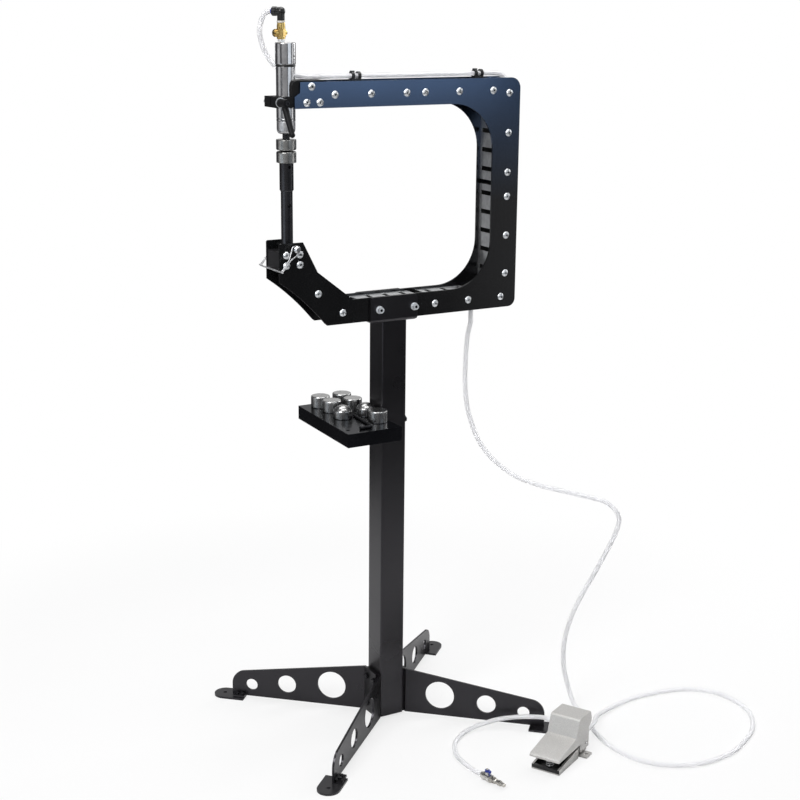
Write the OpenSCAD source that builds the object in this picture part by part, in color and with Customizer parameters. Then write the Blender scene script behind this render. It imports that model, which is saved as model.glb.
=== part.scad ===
// Pneumatic planishing hammer on a floor stand.
// Units are mm, +Z is up, the origin is on the floor under the post axis, and -Y is the front.

/* [Post] */
// Outside width of the square post
post_w = 60; // [40:1:80]
// Wall of the post
post_wall = 3; // [2:0.5:6]
// Height of the post's lower end above the floor
post_z0 = 5; // [2:1:20]
// Outside corner radius of the post
post_r = 4; // [2:0.5:8]

/* [Legs and foot pads] */
// Thickness of the leg plates
leg_t = 5; // [3:0.5:8]
// Angle of a leg's web from the X axis
leg_angle = 43; // [35:1:55]
// Reach of a leg's web from the post edge
leg_reach = 323; // [250:1:400]
// Top of the leg plate above the floor
leg_top = 111; // [80:1:140]
// Radius of the outer top corner of a leg
leg_corner_r = 33; // [10:1:40]
// Depth of the flange on the post
leg_flange = 55; // [40:1:60]
// Length of the bent foot tab along the leg
tab_l = 28; // [20:1:40]
// Width of the bent foot tab from the web
tab_w = 19; // [16:1:24]
// Width of a foot pad
pad_w = 50; // [40:1:80]
// Thickness of a foot pad
pad_t = 5; // [3:0.5:8]
// Start of a foot pad along the leg
pad_r0 = 293; // [280:1:320]
// Floor anchor hole position along the leg
anchor_r = 345; // [330:1:360]
// Diameter of the floor anchor hole
anchor_d = 9; // [6:0.5:14]

/* [C frame] */
// Thickness of the side plates
plate_t = 4; // [3:0.5:8]
// Clear gap between the side plates
frame_gap = 56; // [40:1:80]
// Top edge of the frame
frame_top = 1443.5; // [1400:0.5:1500]
// Bottom edge of the frame
frame_bottom = 938.5; // [900:0.5:960]
// Right edge of the frame
frame_right = 310; // [280:1:340]
// Upper edge of the throat
throat_top = 1390.5; // [1350:0.5:1410]
// Lower edge of the throat
throat_bottom = 989.5; // [970:0.5:1010]
// Right edge of the throat
throat_right = 241; // [200:1:260]
// Corner radius of the throat
throat_r = 100; // [40:1:140]
// Left edge of the jaw
jaw_left = -275.5; // [-300:0.5:-250]
// Top edge of the jaw
jaw_top = 1119; // [1100:1:1140]
// Radius of the scoop under the jaw
scoop_r = 539; // [400:1:800]

/* [Spine strips] */
// Sheet thickness of the slotted strips
strip_t = 2; // [1:0.5:4]
// Recess of the top and bottom strips behind the throat edge
strip_recess = 5; // [4:1:12]
// Recess of the right column's strips behind the throat edge
strip_recess_right = 7; // [7:1:14]
// Depth of the top and bottom strips
strip_h = 40; // [30:1:44]
// Depth of the strips in the right column
strip_h_right = 45; // [36:1:48]
// Length of a slot across a strip
slot_l = 44; // [30:1:48]
// Width of a slot
slot_w = 10; // [4:1:12]
// Distance from slot to slot
slot_pitch = 41.5; // [30:0.5:60]

/* [Saddle] */
// Thickness of the saddle
saddle_t = 6; // [4:1:10]
// Left end of the saddle
saddle_x0 = -64; // [-80:1:-50]
// Right end of the saddle
saddle_x1 = 52; // [45:1:80]
// Top of the saddle's flanges
saddle_top = 990; // [970:1:1000]

/* [Fasteners] */
// Thread diameter of the frame screws
m8 = 8; // [6:1:10]
// Diameter of a button head
button_d = 16.5; // [12:0.5:18]
// Height of a button head
button_h = 4.6; // [3:0.1:6]
// Width across flats of the M8 hexagons
hex_af = 13; // [11:0.5:15]
// Height of an M8 nut
nut_h = 6.5; // [5:0.5:8]

/* [Upper tool] */
// Position of the hammer axis along X
tool_x = -242; // [-260:1:-220]
// Diameter of the hammer barrel
barrel_d = 38.8; // [30:0.1:50]
// Diameter of the hammer head
head_d = 41.6; // [32:0.1:52]
// Diameter of the ram shank
shank_d = 15; // [10:0.5:18]
// Diameter of the dies in use
die_d = 41.4; // [30:0.1:60]
// Underside of the upper die
upper_die_z = 1306.5; // [1305:0.5:1315]
// Clearance of sliding and turning fits, on the radius
fit = 0.05; // [0.02:0.01:0.1]

/* [Lower tool] */
// Top of the lower die, in the middle of its crown
lower_die_top = 1305; // [1290:0.5:1305]
// Rise of the lower die's crown
die_crown = 1; // [0.5:0.1:3]
// Diameter of the anvil post
anvil_d = 24.5; // [20:0.5:26]
// Diameter of the anvil sleeve
sleeve_d = 29; // [27:0.5:34]
// Diameter of the lock pin
pin_d = 8; // [6:0.5:10]
// Wire diameter of the lock pin's bail
bail_d = 2.4; // [1.6:0.1:4]

/* [Tray] */
// Front left corner of the tray along X
tray_x0 = -160; // [-180:1:-130]
// Back left corner of the tray along X
tray_x1 = -146; // [-180:1:-130]
// Front edge of the tray
tray_y0 = -115; // [-140:1:-90]
// Back edge of the tray
tray_y1 = 147; // [120:1:170]
// Top face of the tray
tray_top = 720; // [650:1:800]
// Height of the tray's walls
tray_h = 30; // [20:1:40]
// Sheet thickness of the tray
tray_t = 2.5; // [1.5:0.5:4]
// Diameter of the stored dies
store_d = 42; // [30:1:50]
// Height of the stored dies
store_h = 26; // [15:1:35]
// Width across flats of the hex key
key_af = 6; // [4:1:8]

/* [Foot pedal] */
// Pedal direction from the X axis
pedal_angle = 28; // [0:1:60]
// Width of the treadle
treadle_w = 70; // [60:1:90]
// Thickness of the treadle's walls
treadle_t = 5; // [3:1:6]
// Width of the pedal base
base_w = 66; // [56:1:80]
// Wire diameter of the return spring
spring_wire = 2; // [1.5:0.1:2.5]
// Number of curls of the return spring
spring_curls = 6; // [4:1:8]

/* [Air line] */
// Outside diameter of the hose
hose_d = 11; // [8:0.5:12]
// Bend radius of the hose inside the frame
hose_bend = 40; // [35:1:50]

/* [Hidden] */
$fn = 64;
hole = 0.3;
half = post_w / 2;
inner_y = frame_gap / 2;
outer_y = inner_y + plate_t;
post_top = frame_bottom - saddle_t;
m8_hole = m8 + 2 * hole;
thread = m8 + 2 * fit;
hex_d = hex_af / cos(30);

// Frame screws as [x, z]: strips, holder, jaw and anvil block
top_screw_z = 1416.8;
right_screw_x = 282;
low_screw_z = 962.5;
top_left_x = [-146, -61, 24];
top_right_x = [69, 154, 240];
right_up_z = [1411, 1325, 1239];
right_low_z = [1186, 1100, 1015];
low_right_x = [186, 100];
low_left_x = -128;
saddle_bolt_x = [-43, 43];
strip_screws = concat(
  [for (x = concat(top_left_x, top_right_x)) [x, top_screw_z]],
  [for (z = concat(right_up_z, right_low_z)) [right_screw_x, z]],
  [for (x = concat(low_right_x, [low_left_x])) [x, low_screw_z]]);
block_screws = [[-199, 1434], [-210, 1402], [-180, 1402],
  [-259, 1094.5], [-228, 1094.5], [-259, 1073], [-228, 1073]];
plain_screws = [[272, 962.5], [-186, 1008]];
all_screws = concat(strip_screws, block_screws, plain_screws);
block_screw_in = 20;
strip_screw_in = 13;
scoop = [-583, 596];

// Strips as [start, length]: along X, or down from the start in the column
top_strips = [[-162, 202], [53, 194]];
column_strips = [[1422, 201], [1211, 204]];
column_slots = [1411, 1192];
low_strips = [[-143, 205], [84, 116]];

// Post bolts: legs and tray, along X
leg_bolt_y = 17;
leg_bolt_z = [24, 92];
tray_bolt_z = 706;
leg_inner_x = half + leg_t / 2;
leg_outer_x = half + 1.5 * leg_t;
leg_bolt_end = half + 2 * leg_t;
leg_holes = [[80, 54, 67], [188.7, 44, 44], [275, 34, 28]];
leg_corner_z = 34;
leg_slope = 8.5;
leg_in = leg_corner_r - 0.02;
leg_shoulder = [leg_reach - leg_corner_r + leg_in * sin(leg_slope), leg_corner_z + leg_in * cos(leg_slope)];
tab_r0 = 289;
foot_bolt_r = [297, 309];
foot_bolt_off = 10;
foot_bolt_d = 5;
foot_bolt_af = 8;
pad_x = half + leg_t;

// Tool stack heights
barrel_z0 = 1365;
barrel_z1 = 1473;
head_z0 = 1477;
head_z1 = 1520.5;
nose_z0 = 1339;
piston_z0 = 1371;
piston_h = 20;
piston_r = 14;
clamp_z0 = 1393;
clamp_z1 = 1414.5;
cradle_z1 = 1446;
clamp_x0 = -276.5;
holder_x1 = -165;
stud_x = -268.4;
stud_z = 1403.5;
stud_d = 8;
clamp_washer_d = 20.5;
hub_d = 17;
hub_bore_d = 11;
hub_y0 = -61;
hub_y1 = -30.3;
inlet_x = -251;
regulator_z0 = 1527;
regulator_z1 = 1563;
knob_z = 1539;
elbow_z = 1581;
elbow_turn = 127;
elbow_l = 21;
upper_die_h = 21.5;
lower_die_z0 = 1281;
sleeve_z0 = 1222.5;
sleeve_bore_top = 1266;
sleeve_hole_z = 1272;
spigot_d = 16;
spigot_h = 9;
anvil_z0 = 1066;
anvil_z1 = 1252;
block_x0 = -274.5;
block_x1 = -212;
block_z0 = 1062;
block_z1 = 1101;
pin_z = 1108;
pin_y0 = -44;
pin_y1 = 57;
bail_drop = 49.2;
bail_reach = 58;
bail_back = 51;

// Pedal and valve, in the pedal's own frame: x from toe to heel
pedal_pos = [156, -422, 0];
pivot_x = 128;
pivot_z = 24;
port_y = 13;
port_z = 28;
port_x = 172;
port_x0 = 144;
inlet_elbow_x = 158;
inlet_elbow_l = 22;
inlet_tilt = 10;
spring_x = 22;
spring_r = 8;
spring_z0 = 6;
spring_z1 = 35;
spring_pitch = (spring_z1 - spring_z0) / spring_curls;
plunger_x = 108;
plunger_top = 62;
valve_pos = [21, -380, 10];
valve_turn = -77;

// Stored dies as [x, y, domed]
store = [[-106, 117, 0], [-52, 117, 0], [-102, 70, 0], [-52, 66, 0],
  [-107, 9, 1], [-52, 5, 1], [-54, -53, 0]];
dome_h = 29;
dome_r = 24;
key_from = [-80, 8];
key_knee = [-88, -90];
key_end = [-119, -91];

// Hose inside the frame
hose_r = hose_d / 2;
hose_z = 1452;
hose_x0 = -165;
column_x = 301;
exit_z = 928;
exit_x = column_x - 2 * hose_bend - 7.5;
clip_x = [-82.5, 218.5];

// Hose routes, hand-chosen points
arc_route = [[-274, 33, 1572.5], [-277, 43, 1552], [-274, 50, 1531], [-266, 53, 1510], [-258, 53, 1494.5],
  [-247, 49, 1478], [-234, 39.5, 1464], [-217, 23, 1455], [-203, 10.5, 1452.5], [-190, 2.6, hose_z],
  [-178, 0, hose_z], [-171.5, 0, hose_z], [hose_x0, 0, hose_z]];
foot_route = [[exit_x, 0, exit_z], [exit_x, 0, exit_z - 13], [exit_x, 0, exit_z - 26], [209, 5, 868],
  [206.8, 7.3, 805], [207.5, 6.5, 750], [213, 0.5, 696], [230, -18.2, 630.5], [261, -52.3, 579],
  [310, -106.2, 542.5], [394.5, -199, 523], [432, -240.4, 512.5], [451.5, -261.8, 483.5],
  [447.5, -257.4, 440], [423, -230.4, 355], [392.8, -197.2, 257.6], [377.4, -180.3, 180],
  [375.5, -178.3, 110], [383, -189, 56], [384, -216, 18], [371, -285, 6.8], [351, -358, 5.8],
  [346, -419, 5.8], [359, -483, 5.8], [395, -531, 5.8], [465, -563.5, 5.8], [554, -560.5, 5.8],
  [636, -524, 5.8], [690, -484.5, 5.8], [732, -426, 5.8], [744, -370, 5.8], [733, -305, 5.8],
  [682.5, -257, 5.8], [606, -237.5, 5.8], [515, -239, 5.8], [410, -277, 13.5], [366, -318, 25]];
supply_route = [[265, -285, 36.5], [258.5, -269, 37.5], [242, -251.5, 36], [219.5, -230, 32],
  [195.5, -210, 26], [172.9, -196, 20], [135, -187, 12], [100, -191, 7.5], [69, -208, 6.2],
  [43.5, -234.5, 6], [24.5, -271, 6.4], [17.5, -312, 8], [15.6, -356.6, 10], [18.3, -368.3, 10], valve_pos];

function unit(v) = v / norm(v);
function curve(a, b, c, d, t) =
  0.5 * (2 * b + (c - a) * t + (2 * a - 5 * b + 4 * c - d) * t * t + (3 * b - 3 * c + d - a) * t * t * t);
function smooth(p, k) = concat(
  [for (i = [0 : len(p) - 2]) for (j = [0 : k - 1])
    curve(p[max(i - 1, 0)], p[i], p[i + 1], p[min(i + 2, len(p) - 1)], j / k)],
  [p[len(p) - 1]]);
function tangents(c) = [for (i = [0 : len(c) - 1]) unit(c[min(i + 1, len(c) - 1)] - c[max(i - 1, 0)])];
function carried(t, i, n) = i >= len(t) ? [] :
  let (m = unit(n - (n * t[i]) * t[i])) concat([m], carried(t, i + 1, m));
function tube_points(c, r, k, n0) =
  let (t = tangents(c), n = carried(t, 0, n0))
  [for (i = [0 : len(c) - 1]) for (j = [0 : k - 1])
    c[i] + r * cos(360 * j / k) * n[i] + r * sin(360 * j / k) * cross(t[i], n[i])];
function tube_faces(m, k) = concat(
  [[for (j = [0 : k - 1]) j]],
  [for (i = [0 : m - 2]) for (j = [0 : k - 1]) [i * k + j, (i + 1) * k + j, (i + 1) * k + (j + 1) % k]],
  [for (i = [0 : m - 2]) for (j = [0 : k - 1]) [i * k + j, (i + 1) * k + (j + 1) % k, i * k + (j + 1) % k]],
  [[for (j = [k - 1 : -1 : 0]) (m - 1) * k + j]]);

// A tube along a list of points, k sides
module tube(c, r, k, n0) {
  polyhedron(points = tube_points(c, r, k, n0), faces = tube_faces(len(c), k), convexity = 10);
}

// A round rod from a to b
module rod(a, b, r1, r2) {
  v = b - a;
  translate(a)
    rotate([0, acos(v[2] / norm(v)), atan2(v[1], v[0])])
      cylinder(r1 = r1, r2 = r2, h = norm(v));
}

// A flat outline in X and Z, from y0 to y1
module xz(y0, y1) {
  translate([0, y1, 0])
    rotate([90, 0, 0])
      linear_extrude(height = y1 - y0)
        children();
}

// A flat outline in Y and Z, from x0 to x1
module yz(x0, x1) {
  translate([x0, 0, 0])
    rotate([90, 0, 90])
      linear_extrude(height = x1 - x0)
        children();
}

// A square with rounded corners, from its low corner
module round_square(a, b, r) {
  w = b[0] - a[0];
  h = b[1] - a[1];
  translate([a[0] + r, a[1]]) square([w - 2 * r, h]);
  translate([a[0], a[1] + r]) square([w, h - 2 * r]);
  for (x = [a[0] + r, b[0] - r], y = [a[1] + r, b[1] - r])
    translate([x, y]) circle(r);
}

// What is left outside a rounded corner, sx and sy point into the solid
module corner_cut(x, y, sx, sy, r) {
  translate([x, y])
    difference() {
      translate([sx > 0 ? -1 : -r, sy > 0 ? -1 : -r]) square(r + 1);
      translate([sx * r, sy * r]) circle(r);
    }
}

// A hole along Y at x, z, from y0 to y1
module hole_y(x, z, d, y0, y1) {
  translate([x, y1, z])
    rotate([90, 0, 0])
      cylinder(d = d, h = y1 - y0);
}

// A hole along X at y, z, from x0 to x1
module hole_x(y, z, d, x0, x1) {
  translate([x0, y, z])
    rotate([0, 90, 0])
      cylinder(d = d, h = x1 - x0);
}

module hex_nut(af, h, bore) {
  difference() {
    cylinder(d = af / cos(30), h = h, $fn = 6);
    translate([0, 0, -1]) cylinder(d = bore, h = h + 2);
  }
}

// Button head screw: head above the origin, shank below
module button_screw(len) {
  cap_r = (button_d * button_d / 4 + button_h * button_h) / (2 * button_h);
  difference() {
    union() {
      intersection() {
        translate([0, 0, button_h - cap_r]) sphere(cap_r);
        cylinder(d = button_d, h = button_h);
      }
      translate([0, 0, -len]) cylinder(d = m8, h = len + 1);
    }
    translate([0, 0, button_h - 2.8]) cylinder(d = 5.8, h = 4, $fn = 6);
  }
}

// Places children on the outside of a frame plate, +Z outward
module on_plate(p, side, y) {
  translate([p[0], side * y, p[1]])
    rotate([-90 * side, 0, 0])
      children();
}

// Stand
module post() {
  color("#1b1a1a")
    difference() {
      translate([0, 0, post_z0])
        linear_extrude(height = post_top - post_z0)
          difference() {
            round_square([-half, -half], [half, half], post_r);
            round_square([post_wall - half, post_wall - half], [half - post_wall, half - post_wall], 1.5);
          }
      for (y = [-leg_bolt_y, leg_bolt_y], z = concat(leg_bolt_z, [tray_bolt_z]))
        hole_x(y, z, m8_hole, -half - 1, half + 1);
    }
}

// A leg drawn for the corner sx, sy; x0 is the middle of its flange
module leg(sx, sy, x0, shade) {
  color(shade)
    difference() {
      union() {
        translate([sx > 0 ? x0 - leg_t / 2 : -x0 - leg_t / 2, sy > 0 ? half - leg_flange : -half, post_z0])
          cube([leg_t, leg_flange, leg_top - post_z0]);
        translate([sx * x0, sy * half, post_z0]) cylinder(d = leg_t, h = leg_top - post_z0);
        translate([sx * x0, sy * half, 0])
          rotate([0, 0, atan2(sy * sin(leg_angle), sx * cos(leg_angle))]) {
            xz(-leg_t / 2, leg_t / 2)
              difference() {
                union() {
                  polygon([[0, post_z0], [leg_reach, post_z0], [leg_reach, leg_corner_z], leg_shoulder,
                    [0, leg_top]]);
                  intersection() {
                    translate([leg_reach - leg_corner_r, leg_corner_z]) circle(leg_corner_r);
                    translate([leg_reach - leg_corner_r, leg_corner_z - 1]) square(2 * leg_corner_r);
                  }
                }
                for (h = leg_holes)
                  translate([h[0], h[1]]) circle(d = h[2]);
              }
            foot_tab();
          }
      }
      for (y = [-leg_bolt_y, leg_bolt_y], z = leg_bolt_z)
        hole_x(y, z, m8_hole, -leg_bolt_end - 1, leg_bolt_end + 1);
    }
}

// The tab bent out at the end of a leg, with its two bolt holes
module foot_tab() {
  difference() {
    translate([tab_r0, 0, pad_t]) cube([tab_l, tab_w, leg_t]);
    for (r = foot_bolt_r)
      translate([r, foot_bolt_off, 0]) cylinder(d = foot_bolt_d + 2 * hole, h = 20);
  }
}

module leg_front_left() {
  leg(-1, -1, leg_inner_x, "#3b3c3e");
}

module leg_front_right() {
  leg(1, -1, leg_outer_x, "#2a2b2d");
}

module leg_back_left() {
  leg(-1, 1, leg_outer_x, "#2a2b2d");
}

module leg_back_right() {
  leg(1, 1, leg_inner_x, "#3b3c3e");
}

// Start of a leg's web, and its direction
module at_leg(sx, sy) {
  x0 = sx * sy < 0 ? leg_outer_x : leg_inner_x;
  translate([sx * x0, sy * half, 0])
    rotate([0, 0, atan2(sy * sin(leg_angle), sx * cos(leg_angle))])
      children();
}

module foot_pads() {
  color("#161616")
    for (sx = [-1, 1], sy = [-1, 1])
      difference() {
        translate([sx * pad_x, sy * half, 0])
          rotate([0, 0, atan2(sy * sin(leg_angle), sx * cos(leg_angle))])
            difference() {
              linear_extrude(height = pad_t)
                union() {
                  translate([pad_r0, -pad_w / 2]) square([anchor_r - pad_r0, pad_w]);
                  translate([anchor_r, 0]) circle(d = pad_w);
                }
              translate([anchor_r, 0, -1]) cylinder(d = anchor_d, h = pad_t + 2);
            }
        at_leg(sx, sy)
          for (r = foot_bolt_r)
            translate([r, foot_bolt_off, -1]) cylinder(d = foot_bolt_d + 2 * fit, h = pad_t + 2);
      }
}

module foot_bolts() {
  color("#26272a")
    for (sx = [-1, 1], sy = [-1, 1], r = foot_bolt_r)
      at_leg(sx, sy)
        translate([r, foot_bolt_off, pad_t + leg_t]) {
          cylinder(d = foot_bolt_af / cos(30), h = 3.5, $fn = 6);
          translate([0, 0, -leg_t - pad_t + 0.6]) cylinder(d = foot_bolt_d, h = leg_t + pad_t);
        }
}

// Hexagon bolts through the post, heads on the left
module through_bolts() {
  color("#26272a") {
    for (y = [-leg_bolt_y, leg_bolt_y], z = leg_bolt_z)
      post_bolt(y, z, leg_bolt_end, leg_bolt_end);
    for (y = [-leg_bolt_y, leg_bolt_y])
      post_bolt(y, tray_bolt_z, half + tray_t, half);
  }
}

module post_bolt(y, z, left, right) {
  translate([-left, y, z])
    rotate([0, 90, 0]) {
      translate([0, 0, -5.3]) cylinder(d = hex_d, h = 5.3, $fn = 6);
      translate([0, 0, -1]) cylinder(d = m8, h = left + right + nut_h + 3);
    }
}

module m8_nuts() {
  color("#26272a") {
    for (y = [-leg_bolt_y, leg_bolt_y], z = leg_bolt_z)
      translate([leg_bolt_end, y, z]) rotate([0, 90, 0]) hex_nut(hex_af, nut_h, thread);
    for (y = [-leg_bolt_y, leg_bolt_y])
      translate([half, y, tray_bolt_z]) rotate([0, 90, 0]) hex_nut(hex_af, nut_h, thread);
    for (x = saddle_bolt_x)
      on_plate([x, low_screw_z], 1, outer_y + saddle_t) hex_nut(hex_af, nut_h, thread);
    for (side = [-1, 1]) {
      for (p = strip_screws)
        on_plate(p, side, inner_y - strip_t - nut_h) hex_nut(hex_af, nut_h, thread);
      for (p = plain_screws)
        on_plate(p, side, inner_y - nut_h) hex_nut(hex_af, nut_h, thread);
    }
  }
}

// Saddle on the post head
module saddle() {
  y = outer_y + saddle_t;
  color("#202123")
    difference() {
      intersection() {
        yz(saddle_x0, saddle_x1)
          difference() {
            round_square([-y, post_top], [y, saddle_top + 20], 9);
            translate([-outer_y, frame_bottom]) square([2 * outer_y, 100]);
          }
        xz(-y - 1, y + 1) round_square([saddle_x0, post_top], [saddle_x1, saddle_top], 7);
      }
      for (x = saddle_bolt_x)
        hole_y(x, low_screw_z, m8_hole, -y - 1, y + 1);
    }
}

// Socket head screws with washers, through the saddle and the frame
module saddle_bolts() {
  y = outer_y + saddle_t;
  washer = 2;
  color("#c9cbce")
    for (x = saddle_bolt_x) {
      on_plate([x, low_screw_z], -1, y + washer)
        difference() {
          union() {
            cylinder(d = 13, h = m8);
            translate([0, 0, -2 * y - washer - nut_h - 2]) cylinder(d = m8, h = 2 * y + washer + nut_h + 3);
          }
          translate([0, 0, 4]) cylinder(d = 6.9, h = 5, $fn = 6);
        }
      on_plate([x, low_screw_z], -1, y)
        difference() {
          cylinder(d = 17, h = washer);
          translate([0, 0, -1]) cylinder(d = m8_hole, h = washer + 2);
        }
    }
}

// C frame
module plate_outline() {
  cx = throat_right - throat_r;
  difference() {
    polygon([[-237.5, throat_top], [-237.5, 1414.3], [-225.5, 1422], [-225, frame_top],
      [frame_right, frame_top], [frame_right, frame_bottom], [-165, frame_bottom], [jaw_left, 1030],
      [jaw_left, jaw_top], [-221, jaw_top], [-187.3, 1054], [-104.4, throat_bottom],
      [cx - 40, throat_bottom], [cx - 40, throat_top]]);
    translate([cx - 50, throat_bottom]) square([50, throat_top - throat_bottom]);
    translate([cx - 1, throat_bottom + throat_r])
      square([throat_r + 1, throat_top - throat_bottom - 2 * throat_r]);
    for (z = [throat_bottom + throat_r, throat_top - throat_r])
      translate([cx, z]) circle(throat_r);
    translate(scoop) circle(scoop_r, $fn = 128);
    corner_cut(frame_right, frame_top, -1, -1, 23);
    corner_cut(frame_right, frame_bottom, -1, 1, 18);
    corner_cut(jaw_left, jaw_top, 1, -1, 4);
  }
}

module frame_plate(side) {
  y0 = side < 0 ? -outer_y : inner_y;
  color("#15171c")
    difference() {
      xz(y0, y0 + plate_t) plate_outline();
      for (p = concat(all_screws, [for (x = saddle_bolt_x) [x, low_screw_z]]))
        hole_y(p[0], p[1], m8_hole, y0 - 1, y0 + plate_t + 1);
      hole_y(tool_x, pin_z, pin_d + 2 * hole, y0 - 1, y0 + plate_t + 1);
    }
}

module frame_plate_front() {
  frame_plate(-1);
}

module frame_plate_back() {
  frame_plate(1);
}

// A slotted box strip along X from 0 to len; slot_at is one slot's place, screws lists the screw places
module strip(len, depth, slot_at, screws, screw_v) {
  difference() {
    translate([0, -inner_y, 0]) cube([len, frame_gap, depth]);
    translate([-1, strip_t - inner_y, strip_t])
      cube([len + 2, frame_gap - 2 * strip_t, depth - 2 * strip_t]);
    for (k = [-4 : 4]) {
      x = slot_at + k * slot_pitch;
      if (x > slot_w && x < len - slot_w)
        translate([x - slot_w / 2, -slot_l / 2, -1]) cube([slot_w, slot_l, depth + 2]);
    }
    for (x = screws)
      hole_y(x, screw_v, m8_hole, -inner_y - 1, inner_y + 1);
  }
}

module spine_top() {
  z0 = throat_top + strip_recess;
  screws = [top_left_x, top_right_x];
  color("#b9bcc0")
    for (i = [0, 1]) {
      x0 = top_strips[i][0];
      translate([x0, 0, z0])
        strip(top_strips[i][1], strip_h, screws[i][0] - x0, [for (x = screws[i]) x - x0], top_screw_z - z0);
    }
}

module spine_right() {
  x0 = throat_right + strip_recess_right;
  screws = [right_up_z, right_low_z];
  color("#b9bcc0")
    for (i = [0, 1]) {
      z1 = column_strips[i][0];
      translate([x0, 0, z1])
        rotate([0, 90, 0])
          strip(column_strips[i][1], strip_h_right, z1 - column_slots[i], [for (z = screws[i]) z1 - z],
            right_screw_x - x0);
    }
}

module spine_bottom() {
  z0 = throat_bottom - strip_recess - strip_h;
  screws = [concat([low_left_x], saddle_bolt_x), low_right_x];
  color("#b9bcc0")
    for (i = [0, 1]) {
      x0 = low_strips[i][0];
      translate([x0, 0, z0])
        strip(low_strips[i][1], strip_h, screws[i][0] - x0, [for (x = screws[i]) x - x0], low_screw_z - z0);
    }
}

module frame_screws() {
  color("#c9cbce")
    for (side = [-1, 1]) {
      for (p = concat(strip_screws, plain_screws))
        on_plate(p, side, outer_y) button_screw(strip_screw_in);
      for (p = block_screws)
        on_plate(p, side, outer_y) button_screw(block_screw_in - plate_t);
    }
}

// Snap clips that hold the hose on the frame's top strips
module hose_clips() {
  z0 = throat_top + strip_recess + strip_h;
  ring_w = 6;
  color("#131313")
    for (x = clip_x)
      difference() {
        union() {
          translate([x - 11, -8, z0]) cube([22, 16, hose_z - hose_r - 0.5 - z0]);
          for (s = [-1, 1])
            hole_x(0, hose_z, hose_d + 7, x + s * 7.5 - ring_w / 2, x + s * 7.5 + ring_w / 2);
          translate([x - 11, -3.5, hose_z + hose_r]) cube([8, 7, 5]);
        }
        hole_x(0, hose_z, hose_d + 0.6, x - 20, x + 20);
      }
}

// Upper tool
module hammer_holder() {
  color("#191a1c")
    difference() {
      union() {
        translate([clamp_x0, -inner_y, clamp_z0])
          cube([holder_x1 - clamp_x0, frame_gap, clamp_z1 - clamp_z0]);
        xz(-inner_y, inner_y)
          difference() {
            translate([tool_x + 0.5, clamp_z1 - 1])
              square([holder_x1 - tool_x - 0.5, cradle_z1 - clamp_z1 + 1]);
            corner_cut(tool_x + 0.5, cradle_z1, 1, -1, 12);
          }
      }
      translate([tool_x, 0, clamp_z0 - 1]) cylinder(d = barrel_d + 2 * fit, h = 60);
      translate([clamp_x0 - 1, -1.5, clamp_z0 - 1]) cube([tool_x - clamp_x0, 3, clamp_z1 - clamp_z0 + 2]);
      hole_y(stud_x, stud_z, stud_d + 2 * hole, -40, 40);
      for (side = [-1, 1], p = block_screws)
        on_plate(p, side, inner_y)
          translate([0, 0, -block_screw_in]) cylinder(d = thread, h = block_screw_in + 1);
    }
}

module clamp_stud() {
  color("#b5b8bb") {
    hole_y(stud_x, stud_z, stud_d, -58, 40);
    xz(-30, -inner_y) translate([stud_x, stud_z]) ring_2d(clamp_washer_d, stud_d + 2 * fit);
    on_plate([stud_x, stud_z], 1, inner_y) hex_nut(hex_af, nut_h, thread);
  }
}

module ring_2d(d1, d0) {
  difference() {
    circle(d = d1);
    circle(d = d0);
  }
}

module clamp_lever() {
  tip = [-265, -75, 1343];
  root = [stud_x + 1.5, -47, 1396];
  color("#101011")
    difference() {
      union() {
        hole_y(stud_x, stud_z, hub_d, hub_y0, hub_y1);
        rod(root, tip, 6.6, 5.4);
        translate(tip) sphere(5.8);
      }
      hole_y(stud_x, stud_z, stud_d + 2 * fit, hub_y0 - 1, hub_y1 + 1);
      hole_y(stud_x, stud_z, hub_bore_d, hub_y0 - 1, hub_y0 + 3);
    }
}

module hammer_barrel() {
  color("#c4c7ca")
    translate([tool_x, 0, 0])
      rotate_extrude()
        difference() {
          translate([piston_r, barrel_z0]) square([barrel_d / 2 - piston_r, barrel_z1 - barrel_z0]);
          translate([barrel_d / 2, barrel_z0 + 5]) circle(0.7);
        }
}

module hammer_head() {
  r = head_d / 2;
  color("#c4c7ca")
    difference() {
      translate([tool_x, 0, 0])
        rotate_extrude()
          polygon([[0, head_z0], [r, head_z0], [r, head_z1 - 2.5], [r - 2.5, head_z1], [0, head_z1]]);
      translate([inlet_x, 0, head_z1 - 12]) cylinder(d = 12 + 2 * fit, h = 20);
    }
}

module head_seal() {
  color("#141414")
    translate([tool_x, 0, barrel_z1])
      cylinder(d = head_d - 1, h = head_z0 - barrel_z1);
}

module hammer_nose() {
  r = barrel_d / 2 - 0.3;
  bore = shank_d / 2 + fit;
  color("#c4c7ca")
    translate([tool_x, 0, 0])
      rotate_extrude()
        difference() {
          union() {
            polygon([[bore, nose_z0], [r - 7, nose_z0], [r, nose_z0 + 9], [r, barrel_z0], [bore, barrel_z0]]);
            translate([r - 9, nose_z0 + 9]) circle(9);
          }
          translate([-20, nose_z0 - 2]) square([20 + bore, 40]);
        }
}

module inlet_nipple() {
  color("#b5b8bb")
    translate([inlet_x, 0, 0]) {
      translate([0, 0, head_z1 - 10]) cylinder(d = 12, h = 11);
      translate([0, 0, head_z1]) cylinder(d = 14 / cos(30), h = regulator_z0 - head_z1 - 2, $fn = 6);
      translate([0, 0, regulator_z0 - 3]) cylinder(d = 12.5, h = 3);
    }
}

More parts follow.
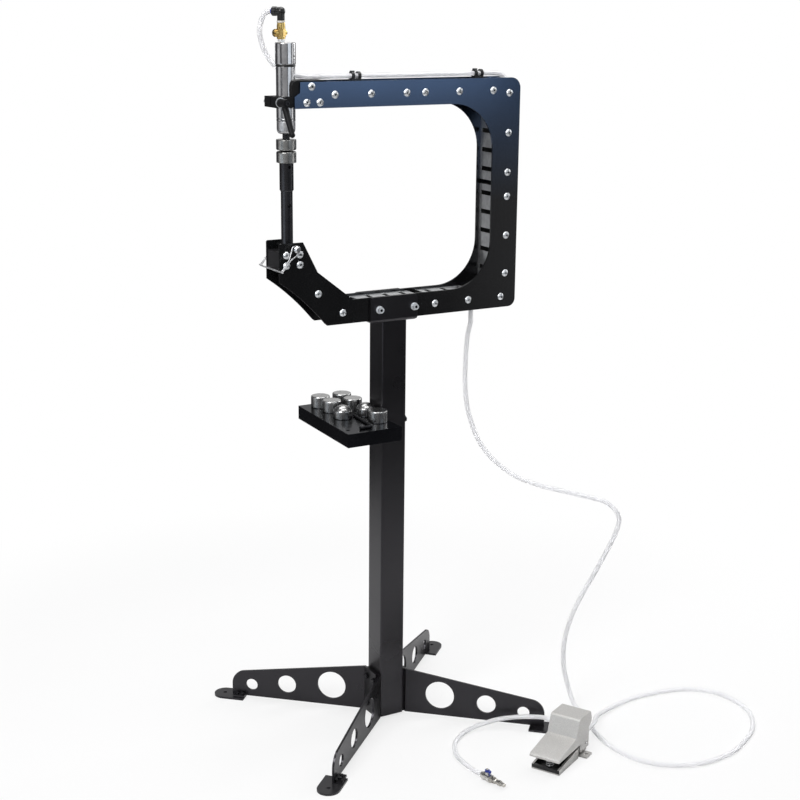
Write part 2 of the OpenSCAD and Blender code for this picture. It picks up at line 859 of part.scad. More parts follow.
module regulator_body() {
  h = regulator_z1 - regulator_z0;
  color("#b08d3e")
    difference() {
      translate([inlet_x, 0, 0]) {
        translate([0, 0, regulator_z0]) cylinder(d = 17, h = h - 8);
        translate([0, 0, regulator_z0 + 4])
          rotate([0, 0, 30]) cylinder(d = 17 / cos(30), h = 16, $fn = 6);
        translate([0, 0, regulator_z1 - 9]) cylinder(d = 16, h = 9);
        hole_x(0, knob_z, 9, 0, 12);
        hole_x(0, knob_z, 5, -14, 0);
      }
      hole_x(0, knob_z, 3, inlet_x + 10, inlet_x + 14);
    }
}

module regulator_knob() {
  x0 = inlet_x - 17;
  x1 = inlet_x - 9;
  color("#b08d3e")
    difference() {
      union() {
        hole_x(0, knob_z, 14.4, x0 + 1.5, x1);
        hole_x(0, knob_z, 12.4, x0, x0 + 2);
        for (a = [0 : 30 : 330])
          translate([x0 + 2, 0, knob_z])
            rotate([a, 0, 0])
              translate([0, -0.9, 6.4]) cube([x1 - x0 - 2.4, 1.8, 1.4]);
      }
      hole_x(0, knob_z, 5 + 2 * fit, x0 + 2.5, x1 + 1);
    }
}

module elbow() {
  color("#121212") {
    translate([inlet_x, 0, regulator_z1]) cylinder(d = 15.2, h = 13);
    translate([inlet_x, 0, elbow_z]) sphere(8.8);
    translate([inlet_x, 0, elbow_z])
      rotate([0, 90, elbow_turn]) {
        cylinder(d = 17, h = elbow_l - 3);
        translate([0, 0, elbow_l - 11]) cylinder(d = 18.6, h = 8);
        cylinder(d = 13, h = elbow_l);
      }
  }
}

// A point at distance a from the elbow's middle, along its outlet
function elbow_point(a) = [inlet_x + a * cos(elbow_turn), a * sin(elbow_turn), elbow_z];

module hammer_hose() {
  plug_in = [for (a = [0, 4, 8]) elbow_point(elbow_l + a)];
  color("#dfe3e4")
    tube(smooth(concat(plug_in, arc_route), 2), hose_r, 10, [0, 0, 1]);
}

module ram_shank() {
  color("#17181a")
    translate([tool_x, 0, 0]) {
      translate([0, 0, upper_die_z + 8]) cylinder(d = shank_d, h = piston_z0 + 2 - upper_die_z - 8);
      translate([0, 0, piston_z0]) cylinder(r = piston_r - fit, h = piston_h);
    }
}

module upper_die() {
  r = die_d / 2;
  color("#a8a7a3")
    translate([tool_x, 0, upper_die_z])
      rotate_extrude()
        polygon([[0, 0], [r - 3, 0], [r, 2.5], [r, upper_die_h - 1], [r - 1, upper_die_h],
          [shank_d / 2 + 0.1, upper_die_h], [shank_d / 2 + 0.1, 8], [0, 8]]);
}

// Lower tool
module lower_die() {
  r = die_d / 2 - 0.2;
  top = lower_die_top - lower_die_z0;
  h = top - die_crown;
  rim = r - 3.4;
  crown_r = (rim * rim + die_crown * die_crown) / (2 * die_crown);
  color("#a8a7a3")
    translate([tool_x, 0, lower_die_z0]) {
      rotate_extrude()
        polygon([[spigot_d / 2 + fit, 0], [r - 1, 0], [r, 1], [r, h - 2.5], [r - 3, h], [0, h],
          [0, spigot_h + 0.5], [spigot_d / 2 + fit, spigot_h + 0.5]]);
      intersection() {
        translate([0, 0, top - crown_r]) sphere(crown_r);
        translate([0, 0, h - 1]) cylinder(r = rim + 1, h = die_crown + 2);
      }
    }
}

module anvil_sleeve() {
  r = sleeve_d / 2;
  bore = anvil_d / 2 + fit;
  color("#1a1b1c")
    difference() {
      translate([tool_x, 0, 0])
        rotate_extrude()
          polygon([[bore, sleeve_z0], [r - 1.8, sleeve_z0], [r, sleeve_z0 + 3], [r, lower_die_z0],
            [spigot_d / 2, lower_die_z0], [spigot_d / 2, lower_die_z0 + spigot_h],
            [0, lower_die_z0 + spigot_h], [0, sleeve_bore_top], [bore, sleeve_bore_top]]);
      hole_y(tool_x, sleeve_hole_z, 6.5, -20, -8);
    }
}

module anvil_post() {
  color("#202122")
    difference() {
      translate([tool_x, 0, anvil_z0]) cylinder(d = anvil_d, h = anvil_z1 - anvil_z0);
      hole_y(tool_x, pin_z, pin_d + 2 * hole, -20, 20);
      hole_y(tool_x, 1193.5, pin_d + 2 * hole, -20, 20);
    }
}

module anvil_block() {
  color("#1d1e20")
    difference() {
      translate([block_x0, -inner_y, block_z0]) cube([block_x1 - block_x0, frame_gap, block_z1 - block_z0]);
      translate([tool_x, 0, anvil_z0]) cylinder(d = anvil_d + 2 * fit, h = 60);
      for (side = [-1, 1], p = block_screws)
        on_plate(p, side, inner_y)
          translate([0, 0, -block_screw_in]) cylinder(d = thread, h = block_screw_in + 1);
    }
}

module lock_pin() {
  color("#b5b8bb")
    difference() {
      union() {
        hole_y(tool_x, pin_z, pin_d, pin_y0, pin_y1 - 2);
        translate([tool_x, pin_y1 - 2, pin_z])
          rotate([-90, 0, 0]) cylinder(d1 = pin_d, d2 = pin_d - 3, h = 2);
        hole_y(tool_x, pin_z, 15, pin_y0 - 5, pin_y0 + 8);
        translate([tool_x, pin_y0 - 5, pin_z])
          rotate([90, 0, 0]) cylinder(d1 = 15, d2 = 9, h = 4);
      }
      translate([tool_x, pin_y0, pin_z])
        rotate([0, 180 - bail_drop, 0])
          translate([0, 0, -12]) cylinder(d = bail_d + 2 * fit, h = 24);
    }
}

// Half of the bail's wire: x along the drop, y along the pin, z along its hinge
bail_end = bail_back - pin_y0;
bail_side = bail_d / 2 + 0.25;
bail_half = [[0, 0, 3], [0, 0, 8], [0.6, -0.1, 9.6], [2.2, -0.4, 10.2], [6, -1, 9.2], [24, -4, 2.8],
  [34, -5.5, 1.6], [52, -7.8, bail_side], [56.6, -6.5, bail_side], [bail_reach, -3, bail_side],
  [bail_reach, bail_end - 5, bail_side], [56.6, bail_end - 1.4, bail_side], [53, bail_end, bail_side],
  [24, bail_end, bail_side], [18.5, bail_end, 2.3], [13.6, bail_end, 3.64], [10.8, bail_end, 4.1],
  [8.3, bail_end, 2.7], [7.3, bail_end, 0]];
bail_line = concat(
  bail_half,
  [for (i = [len(bail_half) - 2 : -1 : 0]) [bail_half[i][0], bail_half[i][1], -bail_half[i][2]]]);

// Spring wire bail, both legs hinged in the pin's head, its eye under the pin's tip
module lock_pin_bail() {
  color("#c9cbce")
    translate([tool_x, pin_y0, pin_z])
      rotate([0, 180 - bail_drop, 0])
        tube(bail_line, bail_d / 2, 8, [0, 1, 0]);
}

// Outline of the tray, its walls drawn in by t
module tray_outline(t) {
  polygon([[tray_x0 + t, tray_y0 + t], [-half - t, tray_y0 + t], [-half - t, tray_y1 - t],
    [tray_x1 + t, tray_y1 - t]]);
}

// Tray on the post's left face, open underneath
module tray() {
  color("#2b2c30")
    difference() {
      translate([0, 0, tray_top - tray_h]) linear_extrude(height = tray_h) tray_outline(0);
      translate([0, 0, tray_top - tray_h - 1])
        linear_extrude(height = tray_h - tray_t + 1) tray_outline(tray_t);
      translate([-145, -86, tray_top - 10]) cylinder(d = 8, h = 20);
      for (y = [-leg_bolt_y, leg_bolt_y])
        hole_x(y, tray_bolt_z, m8_hole, -half - 10, -half + 1);
    }
}

// A loose die standing on the tray, with a blind bore beneath
module stored_die(p) {
  r = store_d / 2;
  color("#a8a7a3")
    translate([p[0], p[1], tray_top])
      difference() {
        if (p[2] == 1)
          intersection() {
            rotate_extrude() polygon([[0, 0], [r - 1, 0], [r, 1], [r, dome_h], [0, dome_h]]);
            translate([0, 0, dome_h - dome_r]) sphere(dome_r);
          }
        else
          rotate_extrude()
            polygon([[0, 0], [r - 1, 0], [r, 1], [r, store_h - 2], [r - 2, store_h], [0, store_h]]);
        translate([0, 0, -1]) cylinder(d = shank_d + 0.4, h = 13);
      }
}

module tray_die_1() {
  stored_die(store[0]);
}

module tray_die_2() {
  stored_die(store[1]);
}

module tray_die_3() {
  stored_die(store[2]);
}

module tray_die_4() {
  stored_die(store[3]);
}

module tray_die_5() {
  stored_die(store[4]);
}

module tray_die_6() {
  stored_die(store[5]);
}

module tray_die_7() {
  stored_die(store[6]);
}

module hex_key() {
  z = tray_top + key_af / 2;
  d = key_af / cos(30);
  long = [key_from[0] - key_knee[0], key_from[1] - key_knee[1]];
  short = [key_end[0] - key_knee[0], key_end[1] - key_knee[1]];
  color("#131313")
    translate([key_knee[0], key_knee[1], z]) {
      rotate([0, 90, atan2(long[1], long[0])]) rotate([0, 0, 30]) cylinder(d = d, h = norm(long), $fn = 6);
      rotate([0, 90, atan2(short[1], short[0])]) rotate([0, 0, 30]) cylinder(d = d, h = norm(short), $fn = 6);
      translate([0, 0, -key_af / 2]) cylinder(d = key_af, h = key_af);
    }
}

// Foot pedal
module at_pedal() {
  translate(pedal_pos)
    rotate([0, 0, pedal_angle])
      children();
}

module pedal_base() {
  w = base_w / 2;
  heel_w = 29;
  color("#9b9ea3")
    at_pedal()
      difference() {
        union() {
          translate([0, -w, 0]) cube([95, base_w, 4]);
          translate([94, -heel_w, 0]) cube([50, 2 * heel_w, 4]);
          for (y = [-w, w - treadle_t])
            xz(y, y + treadle_t) polygon([[0, 0], [95, 0], [95, 25.6], [0, 11.5]]);
          translate([0, -w, 0]) cube([treadle_t, base_w, 11.5]);
          for (y = [-heel_w, heel_w - treadle_t])
            translate([112, y, 0]) cube([32, treadle_t, 34]);
          for (s = [-1, 1])
            translate([102, s > 0 ? heel_w - 1 : -50, 0]) cube([26, 22, 5]);
          translate([spring_x, 0, 3]) cylinder(r = spring_r - 1.6, h = 5);
        }
        for (s = [-1, 1])
          translate([115, s * 43, -1]) cylinder(d = 6.5, h = 10);
        hole_y(pivot_x, pivot_z, 6.4, -50, 50);
      }
}

module valve_body() {
  color("#2a2b2d")
    at_pedal()
      difference() {
        translate([98, -22, 4]) cube([46, 44, 46]);
        hole_y(pivot_x, pivot_z, 7, -50, 50);
        translate([plunger_x, 0, 34]) cylinder(d = 7 + 2 * fit, h = 30);
      }
}

module valve_plunger() {
  color("#b5b8bb")
    at_pedal()
      translate([plunger_x, 0, 40]) {
        cylinder(d = 7, h = plunger_top - 42);
        translate([0, 0, plunger_top - 42]) cylinder(d1 = 7, d2 = 4, h = 2);
      }
}

module treadle() {
  w = treadle_w / 2;
  color("#8f9399")
    at_pedal()
      difference() {
        union() {
          difference() {
            xz(-w, w)
              polygon([[-8, 32], [-8, 36], [-4, 39.5], [77, 54], [90, 90], [94, 93], [147, 92], [154, 74],
                [152, 66], [141, 58], [141, 12.5], [99, 12.5], [99, 31], [-4, 31]]);
            xz(treadle_t - w, w - treadle_t)
              polygon([[-2, 0], [-2, 33.5], [80, 48.2], [96, 87], [143, 86.2], [149, 74], [160, 74],
                [160, 0]]);
          }
          translate([plunger_x, 0, plunger_top + 0.4]) cylinder(d = 12, h = 88 - plunger_top - 0.4);
        }
        hole_y(pivot_x, pivot_z, 6 + 2 * fit, -50, 50);
      }
}

module treadle_pin() {
  color("#b5b8bb")
    at_pedal()
      hole_y(pivot_x, pivot_z, 6, -treadle_w / 2 - 1.5, treadle_w / 2 + 1.5);
}

// Coil of the return spring, 8 points a curl, ends straight for one wire diameter
spring_coil = [for (i = [0 : 8 * spring_curls])
  [spring_x + spring_r * cos(45 * i), spring_r * sin(45 * i), spring_z0 + spring_pitch * i / 8]];
spring_line = concat(
  [spring_coil[0] - [0, spring_wire, 0]],
  spring_coil,
  [spring_coil[8 * spring_curls] + [0, spring_wire, 0]]);
spring_gap = spring_pitch - spring_wire;
echo(spring_gap = spring_gap);

module treadle_spring() {
  color("#b5b8bb")
    at_pedal()
      tube(spring_line, spring_wire / 2, 6, [0, 0, 1]);
}

// A straight push-in fitting on the right port, an elbow on the left one
module pedal_fittings() {
  color("#121212")
    at_pedal() {
      translate([port_x0, -port_y, port_z])
        rotate([0, 90, 0]) {
          cylinder(d = 17 / cos(30), h = 7, $fn = 6);
          cylinder(d = 16, h = port_x - port_x0 - 4);
          cylinder(d = 13, h = port_x - port_x0);
        }
      translate([port_x0, port_y, port_z])
        rotate([0, 90, 0]) {
          cylinder(d = 17 / cos(30), h = 5, $fn = 6);
          cylinder(d = 14, h = inlet_elbow_x - port_x0);
        }
      translate([inlet_elbow_x, port_y, port_z]) {
        sphere(8.2);
        rotate([inlet_tilt - 90, 0, 0]) {
          cylinder(d = 16, h = inlet_elbow_l - 3);
          cylinder(d = 13, h = inlet_elbow_l);
        }
      }
    }
}

// Air line: the frame hose bends in the XZ plane
module hose_arc(x, z, from) {
  translate([x, 0, z])
    rotate([90, 0, 0])
      rotate([0, 0, from])
        rotate_extrude(angle = 90) translate([hose_bend, 0]) circle(hose_r);
}

module frame_hose() {
  cx = column_x - hose_bend;
  mid_z = exit_z + hose_bend;
  color("#dfe3e4") {
    hole_x(0, hose_z, hose_d, hose_x0, cx);
    hose_arc(cx, hose_z - hose_bend, 0);
    translate([column_x, 0, mid_z + hose_bend]) cylinder(d = hose_d, h = hose_z - mid_z - 2 * hose_bend);
    hose_arc(cx, mid_z + hose_bend, 270);
    hole_x(0, mid_z, hose_d, exit_x + hose_bend, cx);
    hose_arc(exit_x + hose_bend, exit_z, 90);
  }
}

// A place on the pedal in the part's frame
function pedal_point(x, y, z) = pedal_pos +
  [x * cos(pedal_angle) - y * sin(pedal_angle), x * sin(pedal_angle) + y * cos(pedal_angle), z];

// A point at distance a from the inlet elbow's middle, along its outlet
function inlet_point(a) =
  pedal_point(inlet_elbow_x, port_y + a * cos(inlet_tilt), port_z + a * sin(inlet_tilt));

module foot_hose() {
  plug_in = [for (x = [24, 12, 0]) pedal_point(port_x + x, -port_y, port_z)];
  color("#dfe3e4")
    tube(smooth(concat(foot_route, plug_in), 2), hose_r, 8, [1, 0, 0]);
}

module supply_hose() {
  plug_in = [for (a = [0, 6, 12]) inlet_point(inlet_elbow_l + a)];
  color("#dfe3e4")
    tube(smooth(concat(plug_in, supply_route), 2), hose_r, 8, [0, 0, 1]);
}

// Shut-off valve on the floor, x along the flow
module at_valve() {
  translate(valve_pos)
    rotate([0, 0, valve_turn])
      children();
}

module ball_valve_body() {
  color("#c4c7ca")
    at_valve()
      difference() {
        union() {
          hole_x(0, 0, 14, 0, 9);
          rotate([0, 90, 0]) translate([0, 0, 6]) cylinder(d = 17 / cos(30), h = 5, $fn = 6);
          hole_x(0, 0, 17, 9, 24);
          rotate([0, 90, 0]) translate([0, 0, 21]) cylinder(d = 17 / cos(30), h = 6, $fn = 6);
          translate([15, 0, 0]) cylinder(d = 9, h = 11.5);
        }
        translate([15, 0, 5]) cylinder(d = 5 + 2 * fit, h = 20);
      }
}

module ball_valve_handle() {
  color("#1f5fae")
    at_valve()
      translate([15, 0, 0]) {
        translate([0, 0, 5.5]) cylinder(d = 5, h = 8);
        translate([0, 0, 11.8]) cylinder(d = 10, h = 5);
        translate([-2, -3, 11.8]) cube([10, 6, 4.5]);
        translate([8, 0, 11.8]) cylinder(d = 6, h = 4.5);
      }
}

module air_plug() {
  color("#b9b6ac")
    at_valve() {
      translate([27, 0, 0]) rotate([0, 90, 0]) cylinder(d = 14 / cos(30), h = 8, $fn = 6);
      translate([27, 0, 0])
        rotate([0, 90, 0])
          rotate_extrude()
            polygon([[0, 1], [6, 1], [6, 14], [5, 16], [5, 20], [6, 22], [6, 28], [4.3, 30], [4.3, 38],
              [3.6, 39.5], [0, 39.5]]);
    }
}

post();
leg_front_left();
leg_front_right();
leg_back_left();
leg_back_right();
foot_pads();
foot_bolts();
through_bolts();
m8_nuts();
saddle();
saddle_bolts();
frame_plate_front();
frame_plate_back();
spine_top();
spine_right();
spine_bottom();
frame_screws();
hose_clips();
hammer_holder();
clamp_stud();
clamp_lever();
hammer_barrel();
hammer_head();
head_seal();
hammer_nose();
inlet_nipple();
regulator_body();
regulator_knob();
elbow();
hammer_hose();
ram_shank();
upper_die();
lower_die();
anvil_sleeve();
anvil_post();
anvil_block();
lock_pin();
lock_pin_bail();
tray();
tray_die_1();
tray_die_2();
tray_die_3();
tray_die_4();
tray_die_5();
tray_die_6();
tray_die_7();
hex_key();
pedal_base();
valve_body();
valve_plunger();
treadle();
treadle_pin();
treadle_spring();
pedal_fittings();
frame_hose();
foot_hose();
supply_hose();
ball_valve_body();
ball_valve_handle();
air_plug();
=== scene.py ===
import math

import bpy
from mathutils import Matrix, Vector


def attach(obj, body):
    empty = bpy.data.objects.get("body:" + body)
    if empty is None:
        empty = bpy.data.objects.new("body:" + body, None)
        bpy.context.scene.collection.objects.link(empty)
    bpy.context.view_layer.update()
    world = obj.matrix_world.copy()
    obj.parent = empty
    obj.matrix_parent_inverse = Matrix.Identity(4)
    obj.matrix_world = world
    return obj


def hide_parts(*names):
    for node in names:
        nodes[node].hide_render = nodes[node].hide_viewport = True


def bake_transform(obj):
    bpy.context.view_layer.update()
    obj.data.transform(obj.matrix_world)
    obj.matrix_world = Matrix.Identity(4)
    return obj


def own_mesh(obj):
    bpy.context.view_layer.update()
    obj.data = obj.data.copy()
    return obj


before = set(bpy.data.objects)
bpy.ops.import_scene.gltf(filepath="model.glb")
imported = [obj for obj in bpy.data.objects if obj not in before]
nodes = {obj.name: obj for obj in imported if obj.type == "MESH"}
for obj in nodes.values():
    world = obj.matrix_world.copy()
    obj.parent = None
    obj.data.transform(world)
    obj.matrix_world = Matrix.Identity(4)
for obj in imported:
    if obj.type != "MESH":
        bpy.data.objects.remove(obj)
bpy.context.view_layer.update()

bpy.context.scene.view_settings.view_transform = "Standard"

# Camera
# A long lens on a tripod at the front left, a little above the hammer head and tilted down,
# where the whole machine and the pedal on the floor are in view.
SENSOR, FOCAL_PX, PICTURE_PX = 36.0, 1559.0, 800.0
camera_data = bpy.data.cameras.new("camera")
camera_data.sensor_fit = "HORIZONTAL"
camera_data.sensor_width = SENSOR
camera_data.lens = SENSOR * FOCAL_PX / PICTURE_PX
camera_data.clip_end = 60.0
camera = bpy.data.objects.new("camera", camera_data)
bpy.context.scene.collection.objects.link(camera)
yaw, tilt, roll = math.radians(30.24), math.radians(14.65), math.radians(0.52)
look = Vector((math.sin(yaw) * math.cos(tilt), math.cos(yaw) * math.cos(tilt), -math.sin(tilt)))
level = Vector((math.cos(yaw), -math.sin(yaw), 0.0))
rise = level.cross(look)
right = math.cos(roll) * level + math.sin(roll) * rise
up = math.cos(roll) * rise - math.sin(roll) * level
stand_at = Vector((-1.6525, -2.8897, 1.6194))
camera.matrix_world = Matrix((
    (right.x, up.x, -look.x, stand_at.x),
    (right.y, up.y, -look.y, stand_at.y),
    (right.z, up.z, -look.z, stand_at.z),
    (0, 0, 0, 1)))
bpy.context.scene.camera = camera

# Air hoses
# Milky polyurethane tube, about 10 mm outside with a 2 mm wall, cut to length and pushed into its fittings.
# One run hangs from the frame to the pedal, one lies on the floor, one lies in the frame in two clips,
# and one loops from the frame up to the elbow of the hammer.
HOSE_R, HOSE_WALL = 0.0052, 0.0019


def in_metres(points):
    return [Vector(p) / 1000.0 for p in points]


def nothing_selected():
    if bpy.context.object and bpy.context.object.mode == "EDIT":
        bpy.ops.object.mode_set(mode="OBJECT")
    bpy.ops.object.select_all(action="DESELECT")


def picked(piece):
    nothing_selected()
    piece.select_set(True)
    bpy.context.view_layer.objects.active = piece
    return piece


def edit_all(piece, mode="VERT"):
    picked(piece)
    bpy.ops.object.mode_set(mode="EDIT")
    bpy.ops.mesh.select_mode(type=mode)
    bpy.ops.mesh.select_all(action="SELECT")


def edit_done():
    bpy.ops.object.mode_set(mode="OBJECT")


def apply_all(piece):
    picked(piece)
    for modifier in list(piece.modifiers):
        bpy.ops.object.modifier_apply(modifier=modifier.name)


def merged(piece, gap=1e-6):
    edit_all(piece)
    bpy.ops.mesh.remove_doubles(threshold=gap)
    bpy.ops.mesh.normals_make_consistent(inside=False)
    edit_done()


def smooth_faces(piece, angle):
    picked(piece)
    bpy.ops.object.shade_smooth_by_angle(angle=math.radians(angle))


def drawn_line(name, points, radius, sides=20, capped=True):
    line = bpy.data.curves.new(name, "CURVE")
    line.dimensions = "3D"
    line.bevel_depth = radius
    line.bevel_resolution = sides // 2 - 2
    line.use_fill_caps = capped
    spline = line.splines.new("POLY")
    spline.points.add(len(points) - 1)
    for knot, place in zip(spline.points, points):
        knot.co = (*place, 1)
    piece = bpy.data.objects.new(name, line)
    bpy.context.scene.collection.objects.link(piece)
    return piece


def made_mesh(piece):
    picked(piece)
    bpy.ops.object.convert(target="MESH")
    return bpy.context.object


def eased_line(points, parts=6):
    # A smooth line through given points
    ends = [points[0]] + points + [points[-1]]
    made = []
    for a, b, c, d in zip(ends, ends[1:], ends[2:], ends[3:]):
        for k in range(parts):
            t = k / parts
            made.append(0.5 * (2 * b + (c - a) * t + (2 * a - 5 * b + 4 * c - d) * t ** 2
                               + (3 * b - 3 * c + d - a) * t ** 3))
    return made + [points[-1]]


def hose_run(name, points):
    piece = made_mesh(drawn_line(name, points, HOSE_R, sides=24, capped=False))
    merged(piece, gap=1e-5)
    wall = piece.modifiers.new("wall", "SOLIDIFY")
    wall.thickness = HOSE_WALL
    wall.offset = -1
    apply_all(piece)
    smooth_faces(piece, 60)
    piece.data.materials.clear()
    piece.data.materials.append(clear_hose)
    return piece


def finish(name, colour, metallic=0.0, roughness=0.4):
    made = bpy.data.materials.new(name)
    made.use_nodes = True
    shader = made.node_tree.nodes["Principled BSDF"]
    shader.inputs["Base Color"].default_value = (*colour, 1)
    shader.inputs["Metallic"].default_value = metallic
    shader.inputs["Roughness"].default_value = roughness
    return made, made.node_tree, shader


def grain(tree, size, stretch=(1, 1, 1), detail=3.0, turn=(0, 0, 0)):
    # A noise pattern on Object coordinates whose blobs are about size metres across
    place = tree.nodes.new("ShaderNodeTexCoord")
    fit = tree.nodes.new("ShaderNodeMapping")
    fit.inputs["Rotation"].default_value = turn
    fit.inputs["Scale"].default_value = [s / size for s in stretch]
    noise = tree.nodes.new("ShaderNodeTexNoise")
    noise.inputs["Scale"].default_value = 1.0
    noise.inputs["Detail"].default_value = detail
    tree.links.new(place.outputs["Object"], fit.inputs["Vector"])
    tree.links.new(fit.outputs["Vector"], noise.inputs["Vector"])
    return noise.outputs["Fac"]


def colour_from(tree, shader, pattern, dark, light, low=0.35, high=0.65):
    ramp = tree.nodes.new("ShaderNodeValToRGB")
    ramp.color_ramp.elements[0].position = low
    ramp.color_ramp.elements[1].position = high
    ramp.color_ramp.elements[0].color = (*dark, 1)
    ramp.color_ramp.elements[1].color = (*light, 1)
    tree.links.new(pattern, ramp.inputs["Fac"])
    tree.links.new(ramp.outputs["Color"], shader.inputs["Base Color"])


def roughness_from(tree, shader, pattern, low, high):
    spread = tree.nodes.new("ShaderNodeMapRange")
    spread.inputs["From Min"].default_value = 0.3
    spread.inputs["From Max"].default_value = 0.7
    spread.inputs["To Min"].default_value = low
    spread.inputs["To Max"].default_value = high
    tree.links.new(pattern, spread.inputs["Value"])
    tree.links.new(spread.outputs["Result"], shader.inputs["Roughness"])


def bumps_from(tree, shader, pattern, strength, depth):
    bump = tree.nodes.new("ShaderNodeBump")
    bump.inputs["Strength"].default_value = strength
    bump.inputs["Distance"].default_value = depth
    tree.links.new(pattern, bump.inputs["Height"])
    tree.links.new(bump.outputs["Normal"], shader.inputs["Normal"])


clear_hose, tree, shader = finish("clear_hose", (0.98, 0.98, 0.99), 0.0, 0.3)
shader.inputs["Transmission Weight"].default_value = 0.55
shader.inputs["IOR"].default_value = 1.18
milk = grain(tree, 0.05)
colour_from(tree, shader, milk, (0.955, 0.955, 0.965), (0.98, 0.98, 0.99))
roughness_from(tree, shader, milk, 0.34, 0.42)

foot_route = eased_line(in_metres([
    (213.5, 0, 928), (213.5, 0, 915), (213.5, 0, 902), (209, 5, 868), (206.8, 7.3, 805),
    (207.5, 6.5, 750), (213, 0.5, 696), (230, -18.2, 630.5), (261, -52.3, 579), (310, -106.2, 542.5),
    (394.5, -199, 523), (432, -240.4, 512.5), (451.5, -261.8, 483.5), (447.5, -257.4, 440),
    (423, -230.4, 355), (392.8, -197.2, 257.6), (377.4, -180.3, 180), (375.5, -178.3, 110),
    (383, -189, 56), (384, -216, 18), (371, -285, 6.8), (351, -358, 5.8), (346, -419, 5.8),
    (359, -483, 5.8), (395, -531, 5.8), (465, -563.5, 5.8), (554, -560.5, 5.8), (636, -524, 5.8),
    (690, -484.5, 5.8), (732, -426, 5.8), (744, -370, 5.8), (733, -305, 5.8), (682.5, -257, 5.8),
    (606, -237.5, 5.8), (515, -239, 5.8), (410, -277, 13.5), (366, -318, 25), (335.2, -341.5, 28),
    (324.6, -347.1, 28), (314.0, -352.8, 28)]))
foot_hose = hose_run("hose_to_pedal", foot_route)
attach(foot_hose, "stand")
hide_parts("foot_hose")

supply_route = eased_line(in_metres([
    (279.2, -317.2, 31.8), (276.4, -312.0, 32.9), (273.6, -306.8, 33.9), (265, -285, 36.5),
    (258.5, -269, 37.5), (242, -251.5, 36), (219.5, -230, 32), (195.5, -210, 26), (172.9, -196, 20),
    (135, -187, 12), (100, -191, 7.5), (69, -208, 6.2), (43.5, -234.5, 6), (24.5, -271, 6.4),
    (17.5, -312, 8), (15.6, -356.6, 10), (18.3, -368.3, 10), (21, -380, 10)]))
supply_hose = hose_run("supply_hose_run", supply_route)
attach(supply_hose, "stand")
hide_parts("supply_hose")

BEND_R = 40
bend = [(BEND_R * math.sin(math.radians(a)), BEND_R * math.cos(math.radians(a))) for a in range(0, 91, 6)]
frame_route = [(-165, 0, 1452)]
frame_route += [(261 + s, 0, 1412 + c) for s, c in bend]
frame_route += [(261 + c, 0, 1008 - s) for s, c in bend]
frame_route += [(253.5 - s, 0, 928 + c) for s, c in bend]
frame_hose = hose_run("hose_in_frame", in_metres(frame_route))
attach(frame_hose, "stand")
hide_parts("frame_hose")

arc_route = eased_line(in_metres([
    (-263.64, 16.77, 1581), (-266.05, 19.97, 1581), (-268.45, 23.16, 1581), (-274, 33, 1572.5),
    (-277, 43, 1552), (-274, 50, 1531), (-266, 53, 1510), (-258, 53, 1494.5), (-247, 49, 1478),
    (-234, 39.5, 1464), (-217, 23, 1455), (-203, 10.5, 1452.5), (-190, 2.6, 1452), (-178, 0, 1452),
    (-171.5, 0, 1452), (-165, 0, 1452)]))
arc_hose = hose_run("hose_to_hammer", arc_route)
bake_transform(arc_hose)
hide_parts("hammer_hose")

# Shut-off valve and plug on the supply hose
# A small nickel plated ball valve with a blue moulded handle under a bright nut, and a quick plug in its end.
# Bodies are turned from hexagon bar, so their corners are eased and the plating is a little cloudy.
def plated(name, dark, light, rough_low, rough_high, size=0.004):
    made, tree, shader = finish(name, light, 1.0, rough_high)
    cloud = grain(tree, size, detail=4)
    colour_from(tree, shader, cloud, dark, light)
    roughness_from(tree, shader, cloud, rough_low, rough_high)
    return made


def even_shading(piece, angle):
    # Smooth faces whose normals follow the larger face, so flat faces stay flat beside eased edges
    smooth_faces(piece, angle)
    weigh = piece.modifiers.new("weigh", "WEIGHTED_NORMAL")
    weigh.keep_sharp = True
    apply_all(piece)


def eased_edges(piece, width, segments, angle):
    edges = piece.modifiers.new("edges", "BEVEL")
    edges.width = width
    edges.segments = segments
    edges.limit_method = "ANGLE"
    edges.angle_limit = math.radians(angle)
    apply_all(piece)


def from_node(name, node, body, finish_made, edge=0.0005, segments=2, angle=32):
    # A copy of the solid's mesh, merged, with its flat faces made whole and its edges eased
    mesh = nodes[node].data.copy()
    mesh.name = name
    piece = bpy.data.objects.new(name, mesh)
    bpy.context.scene.collection.objects.link(piece)
    edit_all(piece)
    bpy.ops.mesh.remove_doubles(threshold=1e-6)
    bpy.ops.mesh.customdata_custom_splitnormals_clear()
    bpy.ops.mesh.dissolve_limited(angle_limit=math.radians(0.5))
    edit_done()
    eased_edges(piece, edge, segments, angle)
    even_shading(piece, angle)
    piece.data.materials.clear()
    piece.data.materials.append(finish_made)
    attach(piece, body)
    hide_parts(node)
    return piece


nickel = plated("nickel_plate", (0.56, 0.55, 0.53), (0.70, 0.69, 0.67), 0.2, 0.32)
blue_moulding, tree, shader = finish("blue_moulding", (0.012, 0.035, 0.30), 0.0, 0.3)
colour_from(tree, shader, grain(tree, 0.006), (0.010, 0.028, 0.25), (0.016, 0.045, 0.36))
plug_steel = plated("plug_steel", (0.42, 0.40, 0.37), (0.56, 0.54, 0.50), 0.24, 0.36)
valve_body = from_node("shutoff_body", "ball_valve_body", "stand", nickel, edge=0.0004)
valve_handle = from_node("shutoff_handle", "ball_valve_handle", "ball_valve_handle", blue_moulding,
                         edge=0.0008)
plug = from_node("quick_plug", "air_plug", "stand", plug_steel, edge=0.0003)
nothing_selected()
bpy.ops.mesh.primitive_cylinder_add(vertices=6, radius=0.0034, depth=0.0018,
                                    location=(0.02438, -0.39462, 0.0277))
handle_nut = bpy.context.object
handle_nut.name = "handle_nut"
bpy.ops.object.transform_apply(location=True, rotation=True, scale=True)
